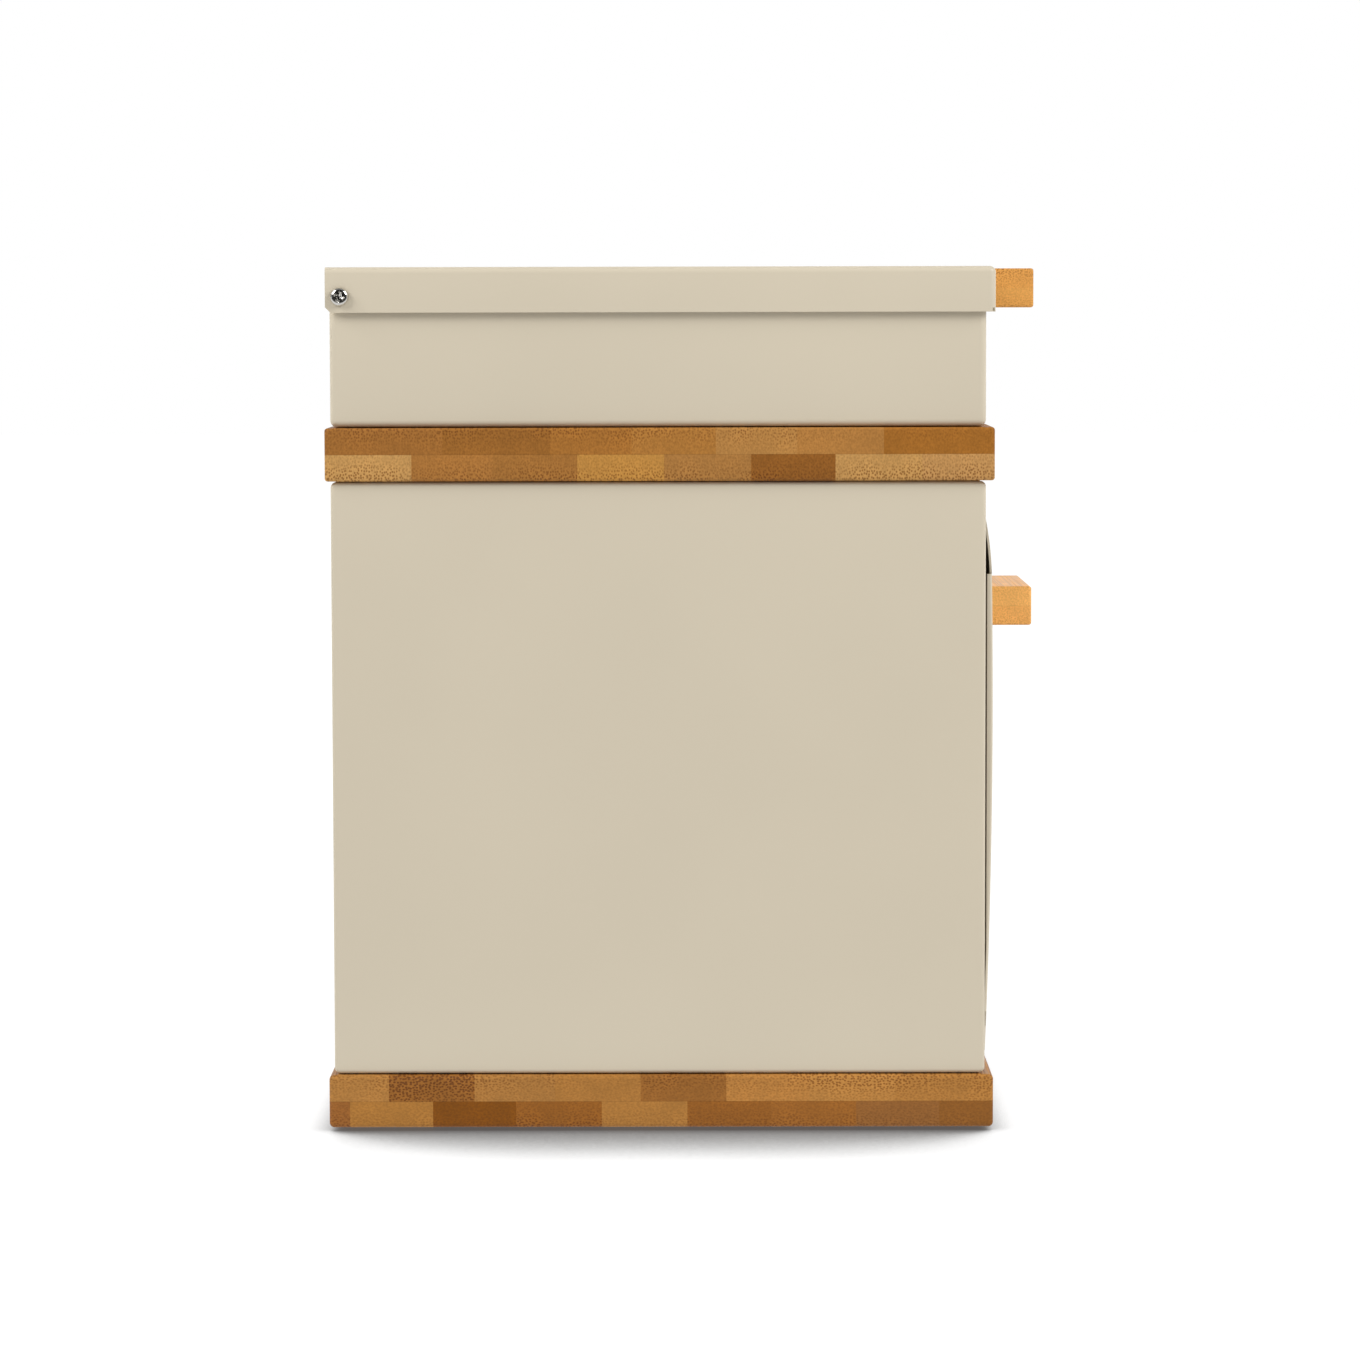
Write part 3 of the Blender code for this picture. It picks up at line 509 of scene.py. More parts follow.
SURROUND = 48
RUBBER_GRAIN = 0.0005
FLAT_MARGIN = 0.0002


def lathe(radius, height, angle, at, axis):
    """Rows of radius and height turned about an axis through at: point = at + radius (cos a,
    sin a) across the axis + height along it."""
    flat = np.stack(
        np.broadcast_arrays(radius * np.cos(angle), radius * np.sin(angle), height), axis=-1
    )
    turn = np.array(Vector((0, 0, 1)).rotation_difference(Vector(axis)).to_matrix())
    return flat @ turn.T + np.array(at)


def turned(profile, at, axis):
    """A profile of (radius, height) rows turned all the way round."""
    angle = np.linspace(0, 2 * np.pi, SURROUND, endpoint=False)
    return lathe(profile[:, :1], profile[:, 1:], angle, at, axis)


def moulded(name, look, grain, strength, depth):
    """A moulded rubber or plastic, with the fine grain that its mould leaves: noise of the
    grain's size, pressed in as a bump."""
    material, tree, shader = new_material(name, look)
    place = add_node(tree, "TexCoord").outputs["Object"]
    noise = add_node(tree, "TexNoise", {"Vector": place, "Scale": 1 / grain})
    bump = add_node(tree, "Bump", {"Height": noise, "Strength": strength, "Distance": depth})
    tree.links.new(bump.outputs["Normal"], shader.inputs["Normal"])
    return material


# Moulded rubber: mid grey and matt, with a grain of about half a millimetre.

rubber_look = {"Base Color": to_linear("6d6d6b"), "Roughness": 0.62}
pad_rubber = moulded("grey_moulded_rubber", rubber_look, RUBBER_GRAIN, 0.4, 0.00003)


def rubber_disc(node, body):
    """A disc whose edge rounds over in a half circle as high as the disc."""
    low, high = (np.array(corner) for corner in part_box(node))
    middle, thick = (low + high) / 2, high[2] - low[2]
    radius = (high[0] - low[0]) / 2
    edge = arc((radius - thick / 2, thick / 2), thick / 2, -90, 90)
    inner = radius - thick - FLAT_MARGIN
    profile = np.vstack([[(inner, 0)], edge, [(inner, thick)]])
    points = turned(profile, (middle[0], middle[1], low[2]), (0, 0, 1))
    grid = quads_of(points, closed=True, capped=(0, -1))
    new_piece(f"{node}_moulded", [grid], pad_rubber, body, [node])


for end in ("front", "rear"):
    for side in ("left", "right"):
        rubber_disc(f"foot_pad_{end}_{side}", "cabinet")
for side in ("left", "right"):
    rubber_disc(f"lid_bumper_{side}", "lid")


# The cabinet's two side panels: 0.8 mm mild steel pressed into a shallow pan. Its flanges turn in
# along the top, foot and rear, and its front edge is folded back on itself into a hem. All the
# sheet steel is powder-coated cream and baked.

back_low, back_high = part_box("cabinet_back")
SHEET = back_high[1] - back_low[1]
BEND = 0.0015
PANEL_CORNER = 0.002
HEM_WIDTH = 0.0030
HEM_DEPTH = 0.008
FLANGE_DEPTH = 0.010
COAT_PITCH = 0.0009
COAT_CLOUD = 0.09


def powder_coat(name, colour):
    """Baked powder coat on steel: even satin cream, with the faint orange peel, about a
    millimetre from crest to crest, that melted powder leaves."""
    material, tree, shader = new_material(name, {"Roughness": 0.40})
    place = add_node(tree, "TexCoord").outputs["Object"]
    peel = add_node(tree, "TexNoise", {"Vector": place, "Scale": 1 / COAT_PITCH, "Detail": 1.0})
    broad = add_node(tree, "TexNoise", {"Vector": place, "Scale": 1 / COAT_CLOUD})
    stops = [(at, (*to_linear(colour) * share, 1)) for at, share in ((0.3, 0.985), (0.7, 1.015))]
    tone = add_node(tree, "ValToRGB", broad, stops=stops)
    tree.links.new(tone.outputs["Color"], shader.inputs["Base Color"])
    gloss = add_node(tree, "MapRange", peel, 0.3, 0.7, 0.37, 0.45)
    tree.links.new(gloss.outputs[0], shader.inputs["Roughness"])
    bump = add_node(tree, "Bump", {"Height": peel, "Strength": 0.35, "Distance": 0.00002})
    tree.links.new(bump.outputs["Normal"], shader.inputs["Normal"])
    return material


cream = powder_coat("cream_powder_coated_steel", "d2c7b1")


def thicken(piece, outward):
    """Gives a sheet its wall, inwards from the face that looks outward, and softens its edges."""
    if sum((face.normal * face.area for face in piece.data.polygons), Vector()).dot(outward) < 0:
        piece.data.flip_normals()
    wall = piece.modifiers.new("sheet", "SOLIDIFY")
    wall.thickness = SHEET
    wall.offset = -1
    wall.use_even_offset = True
    edge = piece.modifiers.new("coated_edge", "BEVEL")
    edge.width = 0.2 * SHEET
    edge.segments = 2
    edge.limit_method = "ANGLE"
    edge.angle_limit = SHARP_ANGLE
    edge.harden_normals = True


def side_panel(side, sign):
    """The pan's profile runs from the flange's edge out and round the bend on to the face, and is
    carried round the panel's outline. Towards the front only the hem's width of it is kept, and
    the hem's own fold, swept up the front, turns back into the cabinet."""
    low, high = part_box(f"cabinet_side_{side}")
    half = max(abs(low[0]), abs(high[0]))
    fold = HEM_WIDTH - SHEET / 2
    bend = arc((BEND, half - BEND), BEND, 180, 90)
    rows = [(0, half - FLANGE_DEPTH), (0, half - fold)]
    profile = np.vstack([rows, bend, [(2 * BEND, half)]])
    points = round_outline(low[1:], high[1:], PANEL_CORNER, profile)
    keep = np.ones((len(profile) - 1, points.shape[1]), bool)
    keep[0, EDGE_STEPS + 1 : 3 * (EDGE_STEPS + 1) - 1] = False
    pan, faces = quads_of(points, keep, closed=True, capped=(-1,))
    front = low[1]
    turn = arc((half - fold, front + SHEET / 2), SHEET / 2, 270, 180)
    hem = np.vstack([turn, [(half - HEM_WIDTH, front + HEM_DEPTH)]])
    rise = np.array([low[2] + PANEL_CORNER, high[2] - PANEL_CORNER])
    grid = np.stack(np.broadcast_arrays(hem[:, :1], hem[:, 1:], rise[None, :]), axis=-1)
    pan = pan[:, [2, 0, 1]] * (sign, 1, 1)
    hem_points, hem_faces = quads_of(grid * (sign, 1, 1))
    node = f"cabinet_side_{side}"
    grids = [(pan, faces), (hem_points, hem_faces)]
    panel = new_piece(f"{node}_pressed", grids, cream, "cabinet", [node])
    thicken(panel, Vector((sign, 0, 0)))


side_panel("left", -1)
side_panel("right", 1)


# The cabinet's floor and ceiling: coated sheets that lie on the side panels' flanges. The floor's
# front edge is folded up into a sill and the ceiling's down into a lintel, which the door closes on.
# Both stand a little back, so that the side panels' rounded corners show clear of them.

FOLD_SET_BACK = 0.001


def folded_sheet(node, level, lip, up):
    """A profile in depth and height, from the rear along the sheet, round the fold and on to the
    lip's edge, drawn straight across the cabinet."""
    low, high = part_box(node)
    front, rear = low[1] + FOLD_SET_BACK, high[1]
    if up:
        fold = arc((front + BEND, level + BEND), BEND, 270, 180)
    else:
        fold = arc((front + BEND, level - BEND), BEND, 90, 180)
    profile = np.vstack([[(rear, level)], fold, [(front, lip)]])
    across = np.array([low[0], high[0]])
    points = np.stack(
        np.broadcast_arrays(across[None, :], profile[:, :1], profile[:, 1:]), axis=-1
    )
    name = f"{node}_folded"
    sheet = new_piece(name, [quads_of(points)], cream, "cabinet", [node])
    thicken(sheet, Vector((0, 0, -1 if up else 1)))


floor_low, floor_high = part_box("cabinet_floor")
ceiling_low, ceiling_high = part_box("cabinet_ceiling")
folded_sheet("cabinet_floor", floor_low[2], floor_high[2], True)
folded_sheet("cabinet_ceiling", ceiling_high[2], ceiling_low[2], False)


# The cabinet's back: a flat coated sheet set between the flanges, with a row of punched holes near
# its top that let the bread's moisture out.

VENT_COUNT = 7
VENT_PITCH = 0.030
VENT_RADIUS = 0.003
VENT_PATCH = 2 * VENT_RADIUS
VENT_BELOW_LINTEL = 0.0205
VENT_LINES = 17


def vented_back():
    """A grid in x and z with a square patch of lines about each hole. In a patch the square ring
    at distance s is blended from a circle, at s equal to the hole's radius, to itself, at the
    patch's edge, and the faces inside the circle are left out."""
    steps = np.linspace(-1, 1, VENT_LINES) * VENT_PATCH
    hole_x = (np.arange(VENT_COUNT) - (VENT_COUNT - 1) / 2) * VENT_PITCH
    hole_z = ceiling_low[2] - VENT_BELOW_LINTEL
    lines_x = np.concatenate([[back_low[0]], (hole_x[:, None] + steps).ravel(), [back_high[0]]])
    lines_z = np.concatenate([[back_low[2]], hole_z + steps, [back_high[2]]])
    x, z = np.meshgrid(lines_x, lines_z)
    nearest = hole_x[np.abs(x[..., None] - hole_x).argmin(axis=-1)]
    off_x, off_z = x - nearest, z - hole_z
    square = np.maximum(np.abs(off_x), np.abs(off_z))
    distance = np.hypot(off_x, off_z)
    share = np.clip((square - VENT_RADIUS) / (VENT_PATCH - VENT_RADIUS), 0, 1)
    in_patch = square < VENT_PATCH + 1e-9
    away = np.maximum(distance, 1e-9)
    wanted = (1 - share) * VENT_RADIUS + share * away
    factor = np.where(in_patch, wanted / away, 1)
    place = [nearest + off_x * factor, 0 * x + back_high[1], hole_z + off_z * factor]
    points = np.stack(place, axis=-1)
    hollow = square < VENT_RADIUS + 1e-9
    corners = hollow[:-1, :-1] & hollow[1:, :-1] & hollow[:-1, 1:] & hollow[1:, 1:]
    return quads_of(points, ~corners)


back = new_piece(
    "cabinet_back_punched", [vented_back()], cream, "cabinet", ["cabinet_back"]
)
thicken(back, Vector((0, 1, 0)))


# The screws: steel pan heads with a cross recess. Those in the wood are zinc-plated, and the two
# that the lid swings on are bright nickel. The heads are cold-formed, and the threads rolled.

THREAD_PITCH = 0.0007
HEAD_ROWS = 22
CROSS_TURN = 0.35
CROSS_REACH = 0.62
CROSS_DEPTH = 0.75
SLOT_HALF = 0.13
SLOT_FLARE = 0.10
FLARE_REACH = 0.35
SLOT_WALL = 0.05
THREAD_ROWS = 5
THREAD_DEPTH = 0.16
POINT_LENGTH = 0.4
SCRATCH_PITCH = 0.000333


def plating(name, colour, roughness):
    """Plated steel: a clean metal whose fine handling scratches, a third of a millimetre apart,
    only touch its gloss."""
    settings = {"Base Color": to_linear(colour), "Metallic": 1.0}
    material, tree, shader = new_material(name, settings)
    place = add_node(tree, "TexCoord").outputs["Object"]
    marks = add_node(tree, "TexNoise", {"Vector": place, "Scale": 1 / SCRATCH_PITCH})
    gloss = add_node(tree, "MapRange", marks, 0.3, 0.7, roughness * 0.8, roughness * 1.3)
    tree.links.new(gloss.outputs[0], shader.inputs["Roughness"])
    return material


zinc = plating("bright_zinc_plated_steel", "c6c8ca", 0.26)
nickel = plating("bright_nickel_plated_steel", "d9d7d2", 0.12)


def recess_depth(x, y, radius, depth):
    """A cross recess: with a the smaller and b the larger of |x| and |y|, it is
    depth (1 - b / reach) ^ 0.6 deep where a is under the slot's half width, which widens towards
    the middle. All its sizes are shares of the head's radius."""
    small, large = np.minimum(abs(x), abs(y)) / radius, np.maximum(abs(x), abs(y)) / radius
    half_slot = SLOT_HALF + SLOT_FLARE * np.clip(1 - large / FLARE_REACH, 0, 1)
    wall = np.clip((half_slot - small) / SLOT_WALL + 0.5, 0, 1)
    return depth * wall * np.clip(1 - large / CROSS_REACH, 0, 1) ** 0.6


def pan_screw(node, axis, body, material, head, shank):
    """Turned about its axis: a head of height h (1 - (r / R)^3)^(1/3) less its recess, a shank
    whose radius falls and rises once a pitch and shifts by a pitch each turn, and a point. The
    recess is CROSS_DEPTH of the head deep, and the thread and point are shares of the shank."""
    low, high = (np.array(corner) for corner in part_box(node))
    direction = np.array(axis)
    along = int(np.argmax(abs(direction)))
    across = [number for number in range(3) if number != along]
    radius = (high[across[0]] - low[across[0]]) / 2
    length = high[along] - low[along] - head
    angle = np.linspace(0, 2 * np.pi, SURROUND, endpoint=False)[None, :]
    out = np.sin(np.linspace(0.02, 1, HEAD_ROWS) * np.pi / 2)[:, None] * radius
    dome = head * np.clip(1 - (out / radius) ** 3, 0, 1) ** (1 / 3)
    cross = angle + CROSS_TURN
    depth = CROSS_DEPTH * head
    dome = dome - recess_depth(out * np.cos(cross), out * np.sin(cross), radius, depth)
    turns = length / THREAD_PITCH
    down = np.linspace(0, length - shank, max(int(turns * THREAD_ROWS), 8))[:, None]
    wave = np.abs((down / THREAD_PITCH - angle / (2 * np.pi)) % 1 - 0.5) * 2
    thread = shank - THREAD_DEPTH * shank * np.clip(down / THREAD_PITCH, 0, 1) * wave
    tip = np.array([[0.55 * shank], [0.02 * shank]])
    tip_down = np.array([[POINT_LENGTH * shank - length], [-length]])
    radii = np.vstack([out + 0 * angle, thread, tip + 0 * angle])
    heights = np.vstack([dome, -down + 0 * angle, tip_down + 0 * angle])
    at = (low + high) / 2
    top = high if direction.sum() > 0 else low
    at[along] = top[along] - direction.sum() * head
    grid = quads_of(lathe(radii, heights, angle, at, axis), closed=True, capped=(0, -1))
    new_piece(f"{node}_formed", [grid], material, body, [node])


SCREW_RADIUS = 0.0015
CLEAR_HOLE = 1.2 * SCREW_RADIUS
PAN_HEIGHT = 0.0022
LOW_PAN_HEIGHT = 0.0014
for end in ("front", "rear"):
    for side in ("left", "right"):
        for kind, axis in (("base", (0, 0, 1)), ("shelf", (0, 0, -1)), ("tray", (0, 0, 1))):
            node = f"{kind}_screw_{end}_{side}"
            pan_screw(node, axis, "cabinet", zinc, PAN_HEIGHT, SCREW_RADIUS)
for side in ("left", "right"):
    for body in ("door", "lid"):
        node = f"{body}_handle_screw_{side}"
        pan_screw(node, (0, 1, 0), body, zinc, LOW_PAN_HEIGHT, SCREW_RADIUS)
pan_screw("lid_pivot_screw_left", (-1, 0, 0), "cabinet", nickel, PAN_HEIGHT, SCREW_RADIUS)
pan_screw("lid_pivot_screw_right", (1, 0, 0), "cabinet", nickel, PAN_HEIGHT, SCREW_RADIUS)


# The lid's washers and nuts: a white nylon washer between lid and tray on each pivot screw, which
# the lid turns against, and a zinc-plated hexagon nut inside the tray that holds the screw.

NUT_CHAMFER = 0.0003
NYLON_GRAIN = 0.00067
WASHER_EDGE = 0.0002


def ring_of(node, axis, radii, material, edge):
    """A ring of square section with its four edges rounded. radii are its outer and inner one."""
    low, high = (np.array(corner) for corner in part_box(node))
    along = int(np.argmax(np.abs(axis)))
    thick = high[along] - low[along]
    outer, inner = radii
    profile = np.vstack(
        [
            arc((outer - edge, thick - edge), edge, 90, 0, 3),
            arc((outer - edge, edge), edge, 0, -90, 3),
            arc((inner + edge, edge), edge, 270, 180, 3),
            arc((inner + edge, thick - edge), edge, 180, 90, 3),
        ]
    )
    profile = np.vstack([profile, profile[:1]])
    at = (low + high) / 2
    at[along] = low[along] if sum(axis) > 0 else high[along]
    points = turned(profile, at, axis)
    grid = quads_of(points, closed=True)
    new_piece(f"{node}_finished", [grid], material, "cabinet", [node])


def hexagon_nut(node, axis):
    """A chamfered hexagon: the outside lies at min(apothem / cos(a mod 60 degrees), chamfer's
    radius), and the bore is a plain cylinder."""
    low, high = (np.array(corner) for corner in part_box(node))
    flats = min(high[1] - low[1], high[2] - low[2]) / 2
    thick = high[0] - low[0]
    angle = np.linspace(0, 2 * np.pi, 2 * SURROUND, endpoint=False)[None, :]
    hexagon = flats / np.cos((angle + np.pi / 6) % (np.pi / 3) - np.pi / 6)
    bore = 0 * angle + CLEAR_HOLE
    limits = [flats, flats + 2 * NUT_CHAMFER, flats + 2 * NUT_CHAMFER, flats]
    levels = [0, NUT_CHAMFER, thick - NUT_CHAMFER, thick]
    radii = np.vstack([bore, *[np.minimum(hexagon, limit) for limit in limits], bore, bore])
    heights = np.array([0, *levels, thick, 0])[:, None]
    at = (low + high) / 2
    at[0] = low[0] if axis[0] > 0 else high[0]
    grid = quads_of(lathe(radii, heights, angle, at, axis), closed=True)
    new_piece(f"{node}_formed", [grid], zinc, "cabinet", [node])


# Moulded nylon: off-white, a little waxy, with a soft gloss.

nylon_look = {
    "Base Color": to_linear("e9e7df"),
    "Roughness": 0.42,
    "Subsurface Weight": 0.15,
    "Subsurface Scale": 0.001,
}
nylon = moulded("white_moulded_nylon", nylon_look, NYLON_GRAIN, 0.2, 0.00002)
for side, sign in (("left", -1), ("right", 1)):
    low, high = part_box(f"lid_washer_{side}")
    radii = (high[1] - low[1]) / 2, CLEAR_HOLE
    ring_of(f"lid_washer_{side}", (sign, 0, 0), radii, nylon, WASHER_EDGE)
    hexagon_nut(f"lid_nut_{side}", (-sign, 0, 0))


# The door's hinge pins and clips: a headed pin held in each side panel's hem, passing through the
# ear of the door, and a push-on spring clip on its end. Both are zinc-plated steel.

PIN_CHAMFER = 0.0003
CLIP_EDGE = 0.0001


def hinge_pin(node, sign):
    """A turned pin: a thin head with a rounded rim, and a plain shank with a chamfered end."""
    low, high = (np.array(corner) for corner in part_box(node))
    head_radius = (high[2] - low[2]) / 2
    length = high[0] - low[0] - SHEET
    rim = 0.3 * SHEET
    profile = np.vstack(
        [
            arc((head_radius - rim, SHEET - rim), rim, 90, 0, 3),
            [(head_radius, 0), (SCREW_RADIUS, 0)],
            [(SCREW_RADIUS, PIN_CHAMFER - length), (SCREW_RADIUS - PIN_CHAMFER, -length)],
        ]
    )
    at = (low + high) / 2
    at[0] = (high[0] if sign > 0 else low[0]) - sign * SHEET
    grid = quads_of(turned(profile, at, (sign, 0, 0)), closed=True, capped=(0, -1))
    new_piece(f"{node}_turned", [grid], zinc, "cabinet", [node])


for side, sign in (("left", -1), ("right", 1)):
    hinge_pin(f"hinge_pin_{side}", sign)
    low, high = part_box(f"hinge_clip_{side}")
    radii = (high[1] - low[1]) / 2, CLEAR_HOLE
    ring_of(f"hinge_clip_{side}", (-sign, 0, 0), radii, zinc, CLIP_EDGE)


# The two door catches: a black moulded holder under the ceiling, with a ferrite magnet between two
# steel pole plates that stand just proud of it and meet the door's top channel.

POLE_THICKNESS = 0.0016
POLE_STAND = 0.0006
POLE_INSET = 0.002
POLE_DEPTH = 0.004
POLE_ROUNDING = 0.0002
HOLDER_ROUNDING = 0.0008
SPARK_GRAIN = 0.0004

# Moulded black plastic: near black, half gloss, from a spark-eroded mould.

holder_look = {"Base Color": to_linear("1f1f20"), "Roughness": 0.45}
holder_black = moulded("black_moulded_plastic", holder_look, SPARK_GRAIN, 0.4, 0.00003)
for side in ("left", "right"):
    node = f"catch_magnet_{side}"
    low, high = (np.array(corner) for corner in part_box(node))
    holder = rounded_bar(low + (0, POLE_STAND, 0), high, HOLDER_ROUNDING)
    new_piece(f"{node}_holder", [holder], holder_black, "cabinet", [node])
    plates = []
    for level in (0.3, 0.7):
        z = low[2] + level * (high[2] - low[2])
        plate_low = np.array([low[0] + POLE_INSET, low[1], z - POLE_THICKNESS / 2])
        plate_high = np.array([high[0] - POLE_INSET, low[1] + POLE_DEPTH, z + POLE_THICKNESS / 2])
        plates.append(rounded_bar(plate_low, plate_high, POLE_ROUNDING))
    new_piece(f"{node}_poles", plates, zinc, "cabinet", [])


# The door: one bowed sheet of coated steel. Its sides turn back into flanges that step in where
# they pass into the cabinet, and whose feet, past a relief slot, are the hinge ears. Its top turns
# back and down into a channel that meets the catches, and its foot has a short flange.

DOOR_BEND = 0.0009
DOOR_PEAK_PROUD = 0.00285
DOOR_FOOT_PROUD = 0.0003
DOOR_PEAK_BELOW_TOP = 0.073
DOOR_CURL_LENGTH = 0.025
DOOR_CURL_RADIUS = 0.135
DOOR_FLANGE_BELOW_TOP = 0.0225
DOOR_TOP_LIP = 0.010
DOOR_TOP_BACK = 0.0088
DOOR_FOOT_BACK = 0.0035
DOOR_FOOT_INSET = 0.004
DOOR_JOGGLE = 0.0026
JOGGLE_PROUD = 0.0007
RELIEF_BACK = 0.003
RELIEF_HEIGHT = 0.0054
RELIEF_ABOVE_PIN = 0.0039
EAR_BACK = 0.005
FLANGE_BACK = 0.009
FLANGE_COLUMNS = 4
SKIN_COLUMNS = 9
SKIN_ROWS = 60
ROW_GAP = 0.0008
STEP_LENGTH = 0.0003
BEND_CLEAR = 0.00005
HAIR = 0.000001

door_low, door_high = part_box("door_panel")
front_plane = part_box("cabinet_side_left")[0][1]
pin_low, pin_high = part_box("hinge_pin_left")
pin_level = (pin_low[2] + pin_high[2]) / 2


def door_proud(z):
    """How far the skin stands out at a height: peak - R + sqrt(R^2 - (z - peak height)^2), less
    the curl Rc - sqrt(Rc^2 - over^2), over being the height above where the curl starts."""
    peak = door_high[2] - DOOR_PEAK_BELOW_TOP
    rise = DOOR_PEAK_PROUD - DOOR_FOOT_PROUD
    bow = ((peak - door_low[2]) ** 2 + rise**2) / (2 * rise)
    over = np.maximum(z - (door_high[2] - DOOR_CURL_LENGTH), 0)
    curl = DOOR_CURL_RADIUS - np.sqrt(DOOR_CURL_RADIUS**2 - over**2)
    return DOOR_PEAK_PROUD - bow + np.sqrt(bow**2 - (z - peak) ** 2) - curl


def door_grid():
    """Rows run up the door: foot flange, bend, skin, bend, top flange and lip. Columns run across
    it: flange, bend, skin, bend, flange. The side bends flatten out above the flanges' top. y is
    the skin's face plus what the foot bend, the top bend and the side bends each set back."""
    foot, top, half = door_low[2], door_high[2], door_high[0]
    flange_top = top - DOOR_FLANGE_BELOW_TOP
    relief = pin_level + RELIEF_ABOVE_PIN + np.array([0, RELIEF_HEIGHT])
    quarter = np.radians(np.linspace(0, 90, EDGE_STEPS + 1))

    skin = np.linspace(foot + DOOR_BEND, top - DOOR_BEND, SKIN_ROWS)
    marks = np.array([*relief, flange_top, flange_top + 0.0002, pin_level])
    skin = skin[np.abs(skin[:, None] - marks).min(axis=1) > ROW_GAP]
    skin = np.sort(np.concatenate([skin, marks]))[1:-1]
    foot_bend = foot + DOOR_BEND * (1 - np.cos(quarter))
    top_bend = top - DOOR_BEND * (1 - np.sin(quarter))
    z = np.concatenate([[foot], foot_bend, skin, top_bend, [top]])
    face = front_plane - door_proud(np.clip(z, foot, top - DOOR_BEND))
    foot_in = np.zeros(len(z))
    foot_in[1 : len(quarter) + 1] = DOOR_BEND * (1 - np.sin(quarter))
    foot_in[0] = DOOR_FOOT_BACK + front_plane - face[0]
    top_in = np.zeros(len(z))
    top_in[-len(quarter) - 1 : -1] = DOOR_BEND * (1 - np.cos(quarter))
    back_plane = front_plane + DOOR_TOP_BACK
    top_in[-1] = back_plane - DOOR_BEND - face[-1]
    turn_z = top - DOOR_BEND * (1 - np.cos(quarter[1:]))
    turn_y = back_plane - DOOR_BEND * (1 - np.sin(quarter[1:]))
    z = np.concatenate([z, turn_z, [top - DOOR_TOP_LIP]])
    tail = np.concatenate([turn_y, [back_plane]])
    face = np.concatenate([face, tail])
    foot_in = np.concatenate([foot_in, 0 * tail])
    top_in = np.concatenate([top_in, 0 * tail])

    inset = half - DOOR_FOOT_INSET
    bend_x = half - DOOR_BEND * (1 - np.cos(quarter))
    bend_back = DOOR_BEND * (1 - np.sin(quarter))
    left_x = np.concatenate([[-half] * FLANGE_COLUMNS, -bend_x, [-inset]])
    between = np.linspace(-inset, inset, SKIN_COLUMNS)[1:-1]
    x = np.concatenate([left_x, between, -left_x[::-1]])
    bend_all = np.concatenate([[0] * FLANGE_COLUMNS, bend_back, [0]])
    inward = np.concatenate([bend_all, 0 * between, bend_all[::-1]])

    last_skin = len(quarter) + 1 + len(skin) + 1
    row = np.arange(len(z))
    has_flange = (row < last_skin) & (z < flange_top + 0.0001)
    middle = (np.abs(x) < inset + HAIR)[None, :]
    y = face[:, None] + top_in[:, None] + foot_in[:, None] * middle
    y = y + has_flange[:, None] * inward[None, :]
    z_grid = z[:, None] + 0 * x[None, :]
    back = front_plane + np.interp(z, [foot, pin_level], [EAR_BACK, FLANGE_BACK])
    y[:, [0, -1]] = back[:, None]
    y[:, [1, -2]] = front_plane + RELIEF_BACK
    step = np.maximum(face + DOOR_BEND + BEND_CLEAR, front_plane - JOGGLE_PROUD)[:, None]
    y[:, [2, -3]] = step + STEP_LENGTH
    y[:, [3, -4]] = step
    x_grid = x[None, :] + 0 * z_grid
    joggled = (z > relief[1] - HAIR)[:, None]
    x_grid[:, [0, 1, 2]] += DOOR_JOGGLE * joggled
    x_grid[:, [-1, -2, -3]] -= DOOR_JOGGLE * joggled
    points = np.stack([x_grid, y, z_grid], axis=-1)

    columns = len(x)
    keep = np.ones((len(z) - 1, columns - 1), bool)
    flange_cell = (has_flange[:-1] & has_flange[1:])[:, None]
    side_cells = np.zeros(columns - 1, bool)
    side_cells[:FLANGE_COLUMNS] = True
    side_cells[-FLANGE_COLUMNS:] = True
    keep &= flange_cell | ~side_cells[None, :]
    in_relief = (z[:-1] > relief[0] - HAIR) & (z[1:] < relief[1] + HAIR) & (row[:-1] < last_skin)
    relief_cells = np.zeros(columns - 1, bool)
    relief_cells[1 : len(quarter) + 3] = True
    relief_cells |= relief_cells[::-1]
    keep &= ~(in_relief[:, None] & relief_cells[None, :])
    edge_cells = np.abs((x[:-1] + x[1:]) / 2) > inset
    keep[0] &= ~edge_cells
    return quads_of(points, keep)


door = new_piece("door_panel_bowed", [door_grid()], cream, "door", ["door_panel"])
thicken(door, Vector((0, -1, 0)))


# The two handles: short bars of two-ply bamboo, lighter than the boards and lacquered, with eased
# edges. Each is held by two screws from behind the sheet.

HANDLE_ROUNDING = 0.001
HANDLE_PITCH = (0.0009, 0.0009)


def handle(node, body, upper, lower, seam):
    """A bar whose plies are one strip each, upper and lower being its colour and speckle. The
    lacquer is thin and soft, so it only adds a faint second gloss."""
    low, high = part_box(node)
    middle = (low[2] + high[2]) / 2
    width = 1000 * (high[1] - low[1])
    plies = [(width, *upper)], [(width, *lower)]
    sizes = high[1], middle, high[2] - middle
    material = bamboo(f"lacquered_bamboo_{node}", *sizes, *plies, HANDLE_PITCH, seam)
    lacquer = material.node_tree.nodes["Principled BSDF"].inputs
    lacquer["Coat Weight"].default_value = 0.1
    lacquer["Coat Roughness"].default_value = 0.3
    grid = rounded_bar(low, high, HANDLE_ROUNDING)
    new_piece(f"{node}_bar", [grid], material, body, [node])


handle("door_handle", "door", ("ecb166", FAINT), ("e8aa60", FAINT), 0.92)
handle("lid_handle", "lid", ("d89a4f", BOLD), ("d99d52", FAINT), 1.0)


# The tray: one coated sheet folded up into a shallow box with welded, ground corners and a rim
# turned in all round, on which the lid comes to rest.

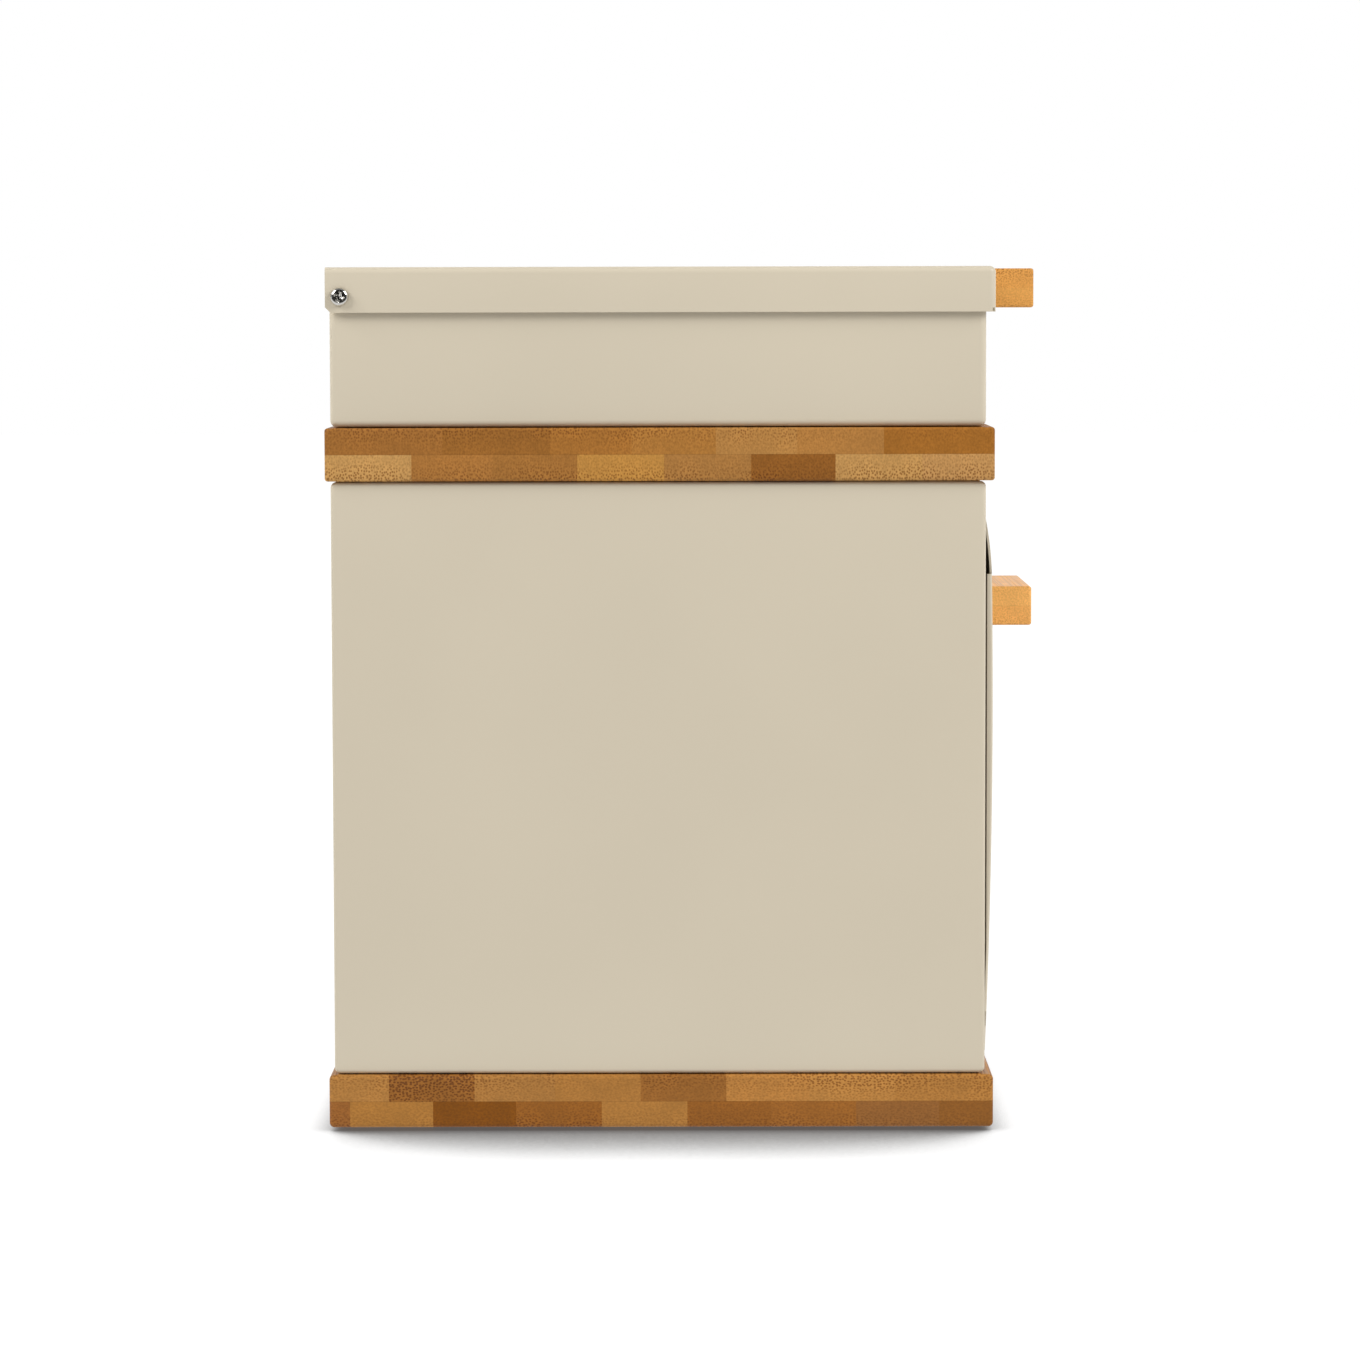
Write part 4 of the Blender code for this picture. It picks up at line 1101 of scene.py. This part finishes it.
TRAY_CORNER = 0.0024
RIM_BEND = 0.0010
RIM_WIDTH = 0.007

tray_low, tray_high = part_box("tray")


def tray_grid():
    """The profile runs from the rim's inner edge out, round, down the wall and in under."""
    top, bottom = tray_high[2], tray_low[2]
    rim = arc((RIM_BEND, top - RIM_BEND), RIM_BEND, 90, 180)
    foot = arc((TRAY_CORNER, bottom + TRAY_CORNER), TRAY_CORNER, 180, 270)
    profile = np.vstack([[(SHEET + RIM_WIDTH, top)], rim, foot, [(2 * TRAY_CORNER, bottom)]])
    points = round_outline(tray_low[:2], tray_high[:2], TRAY_CORNER, profile)
    return quads_of(points, closed=True, capped=(-1,))


tray = new_piece("tray_folded", [tray_grid()], cream, "cabinet", ["tray"])
thicken(tray, Vector((0, 0, -1)))


# The lid: a flat coated sheet with a flange turned down along its front and sides. The rear ends
# of the side flanges have their lower corners cut off, so that they clear the tray as the lid
# swings, and a small relief nick parts the flanges at the foot of each front corner.

LID_BEND = 0.0022
LID_CORNER_CUT = 0.002
NICK_HEIGHT = 0.0014

lid_low, lid_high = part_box("lid")


def lid_grid():
    """The profile runs from the flange's foot up and round on to the top. It is carried from the
    rear of one side round the front to the rear of the other, where two added columns at each
    end make the cut corner. Left-out faces at the foot of each front bend make the nicks."""
    foot, top = lid_low[2], lid_high[2]
    bend = arc((LID_BEND, top - LID_BEND), LID_BEND, 180, 90)
    profile = np.vstack([[(0, foot), (0, foot + NICK_HEIGHT)], bend, [(2 * LID_BEND, top)]])
    ring = round_outline(lid_low[:2], lid_high[:2], LID_BEND, profile)
    front = ring[:, 2 * (EDGE_STEPS + 1) :]
    rear = lid_high[1]
    ends = []
    for column, order in ((0, 1), (-1, -1)):
        pair = np.repeat(front[:, [column]], 2, axis=1)
        pair[:, 0, 1] = rear
        pair[:, 1, 1] = rear - LID_CORNER_CUT
        pair[0, 0, 2] = foot + LID_CORNER_CUT
        pair[1, 0, 2] = foot + LID_CORNER_CUT + 0.0001
        ends.append(pair[:, ::order])
    points = np.concatenate([ends[0], front, ends[1]], axis=1)
    keep = np.ones((len(profile) - 1, points.shape[1] - 1), bool)
    for first in (2, 2 + EDGE_STEPS + 1):
        keep[0, first + 2 : first + 4] = False
    return quads_of(points, keep, capped=(-1,))


lid = new_piece("lid_folded", [lid_grid()], cream, "lid", ["lid"])
thicken(lid, Vector((0, 0, 1)))
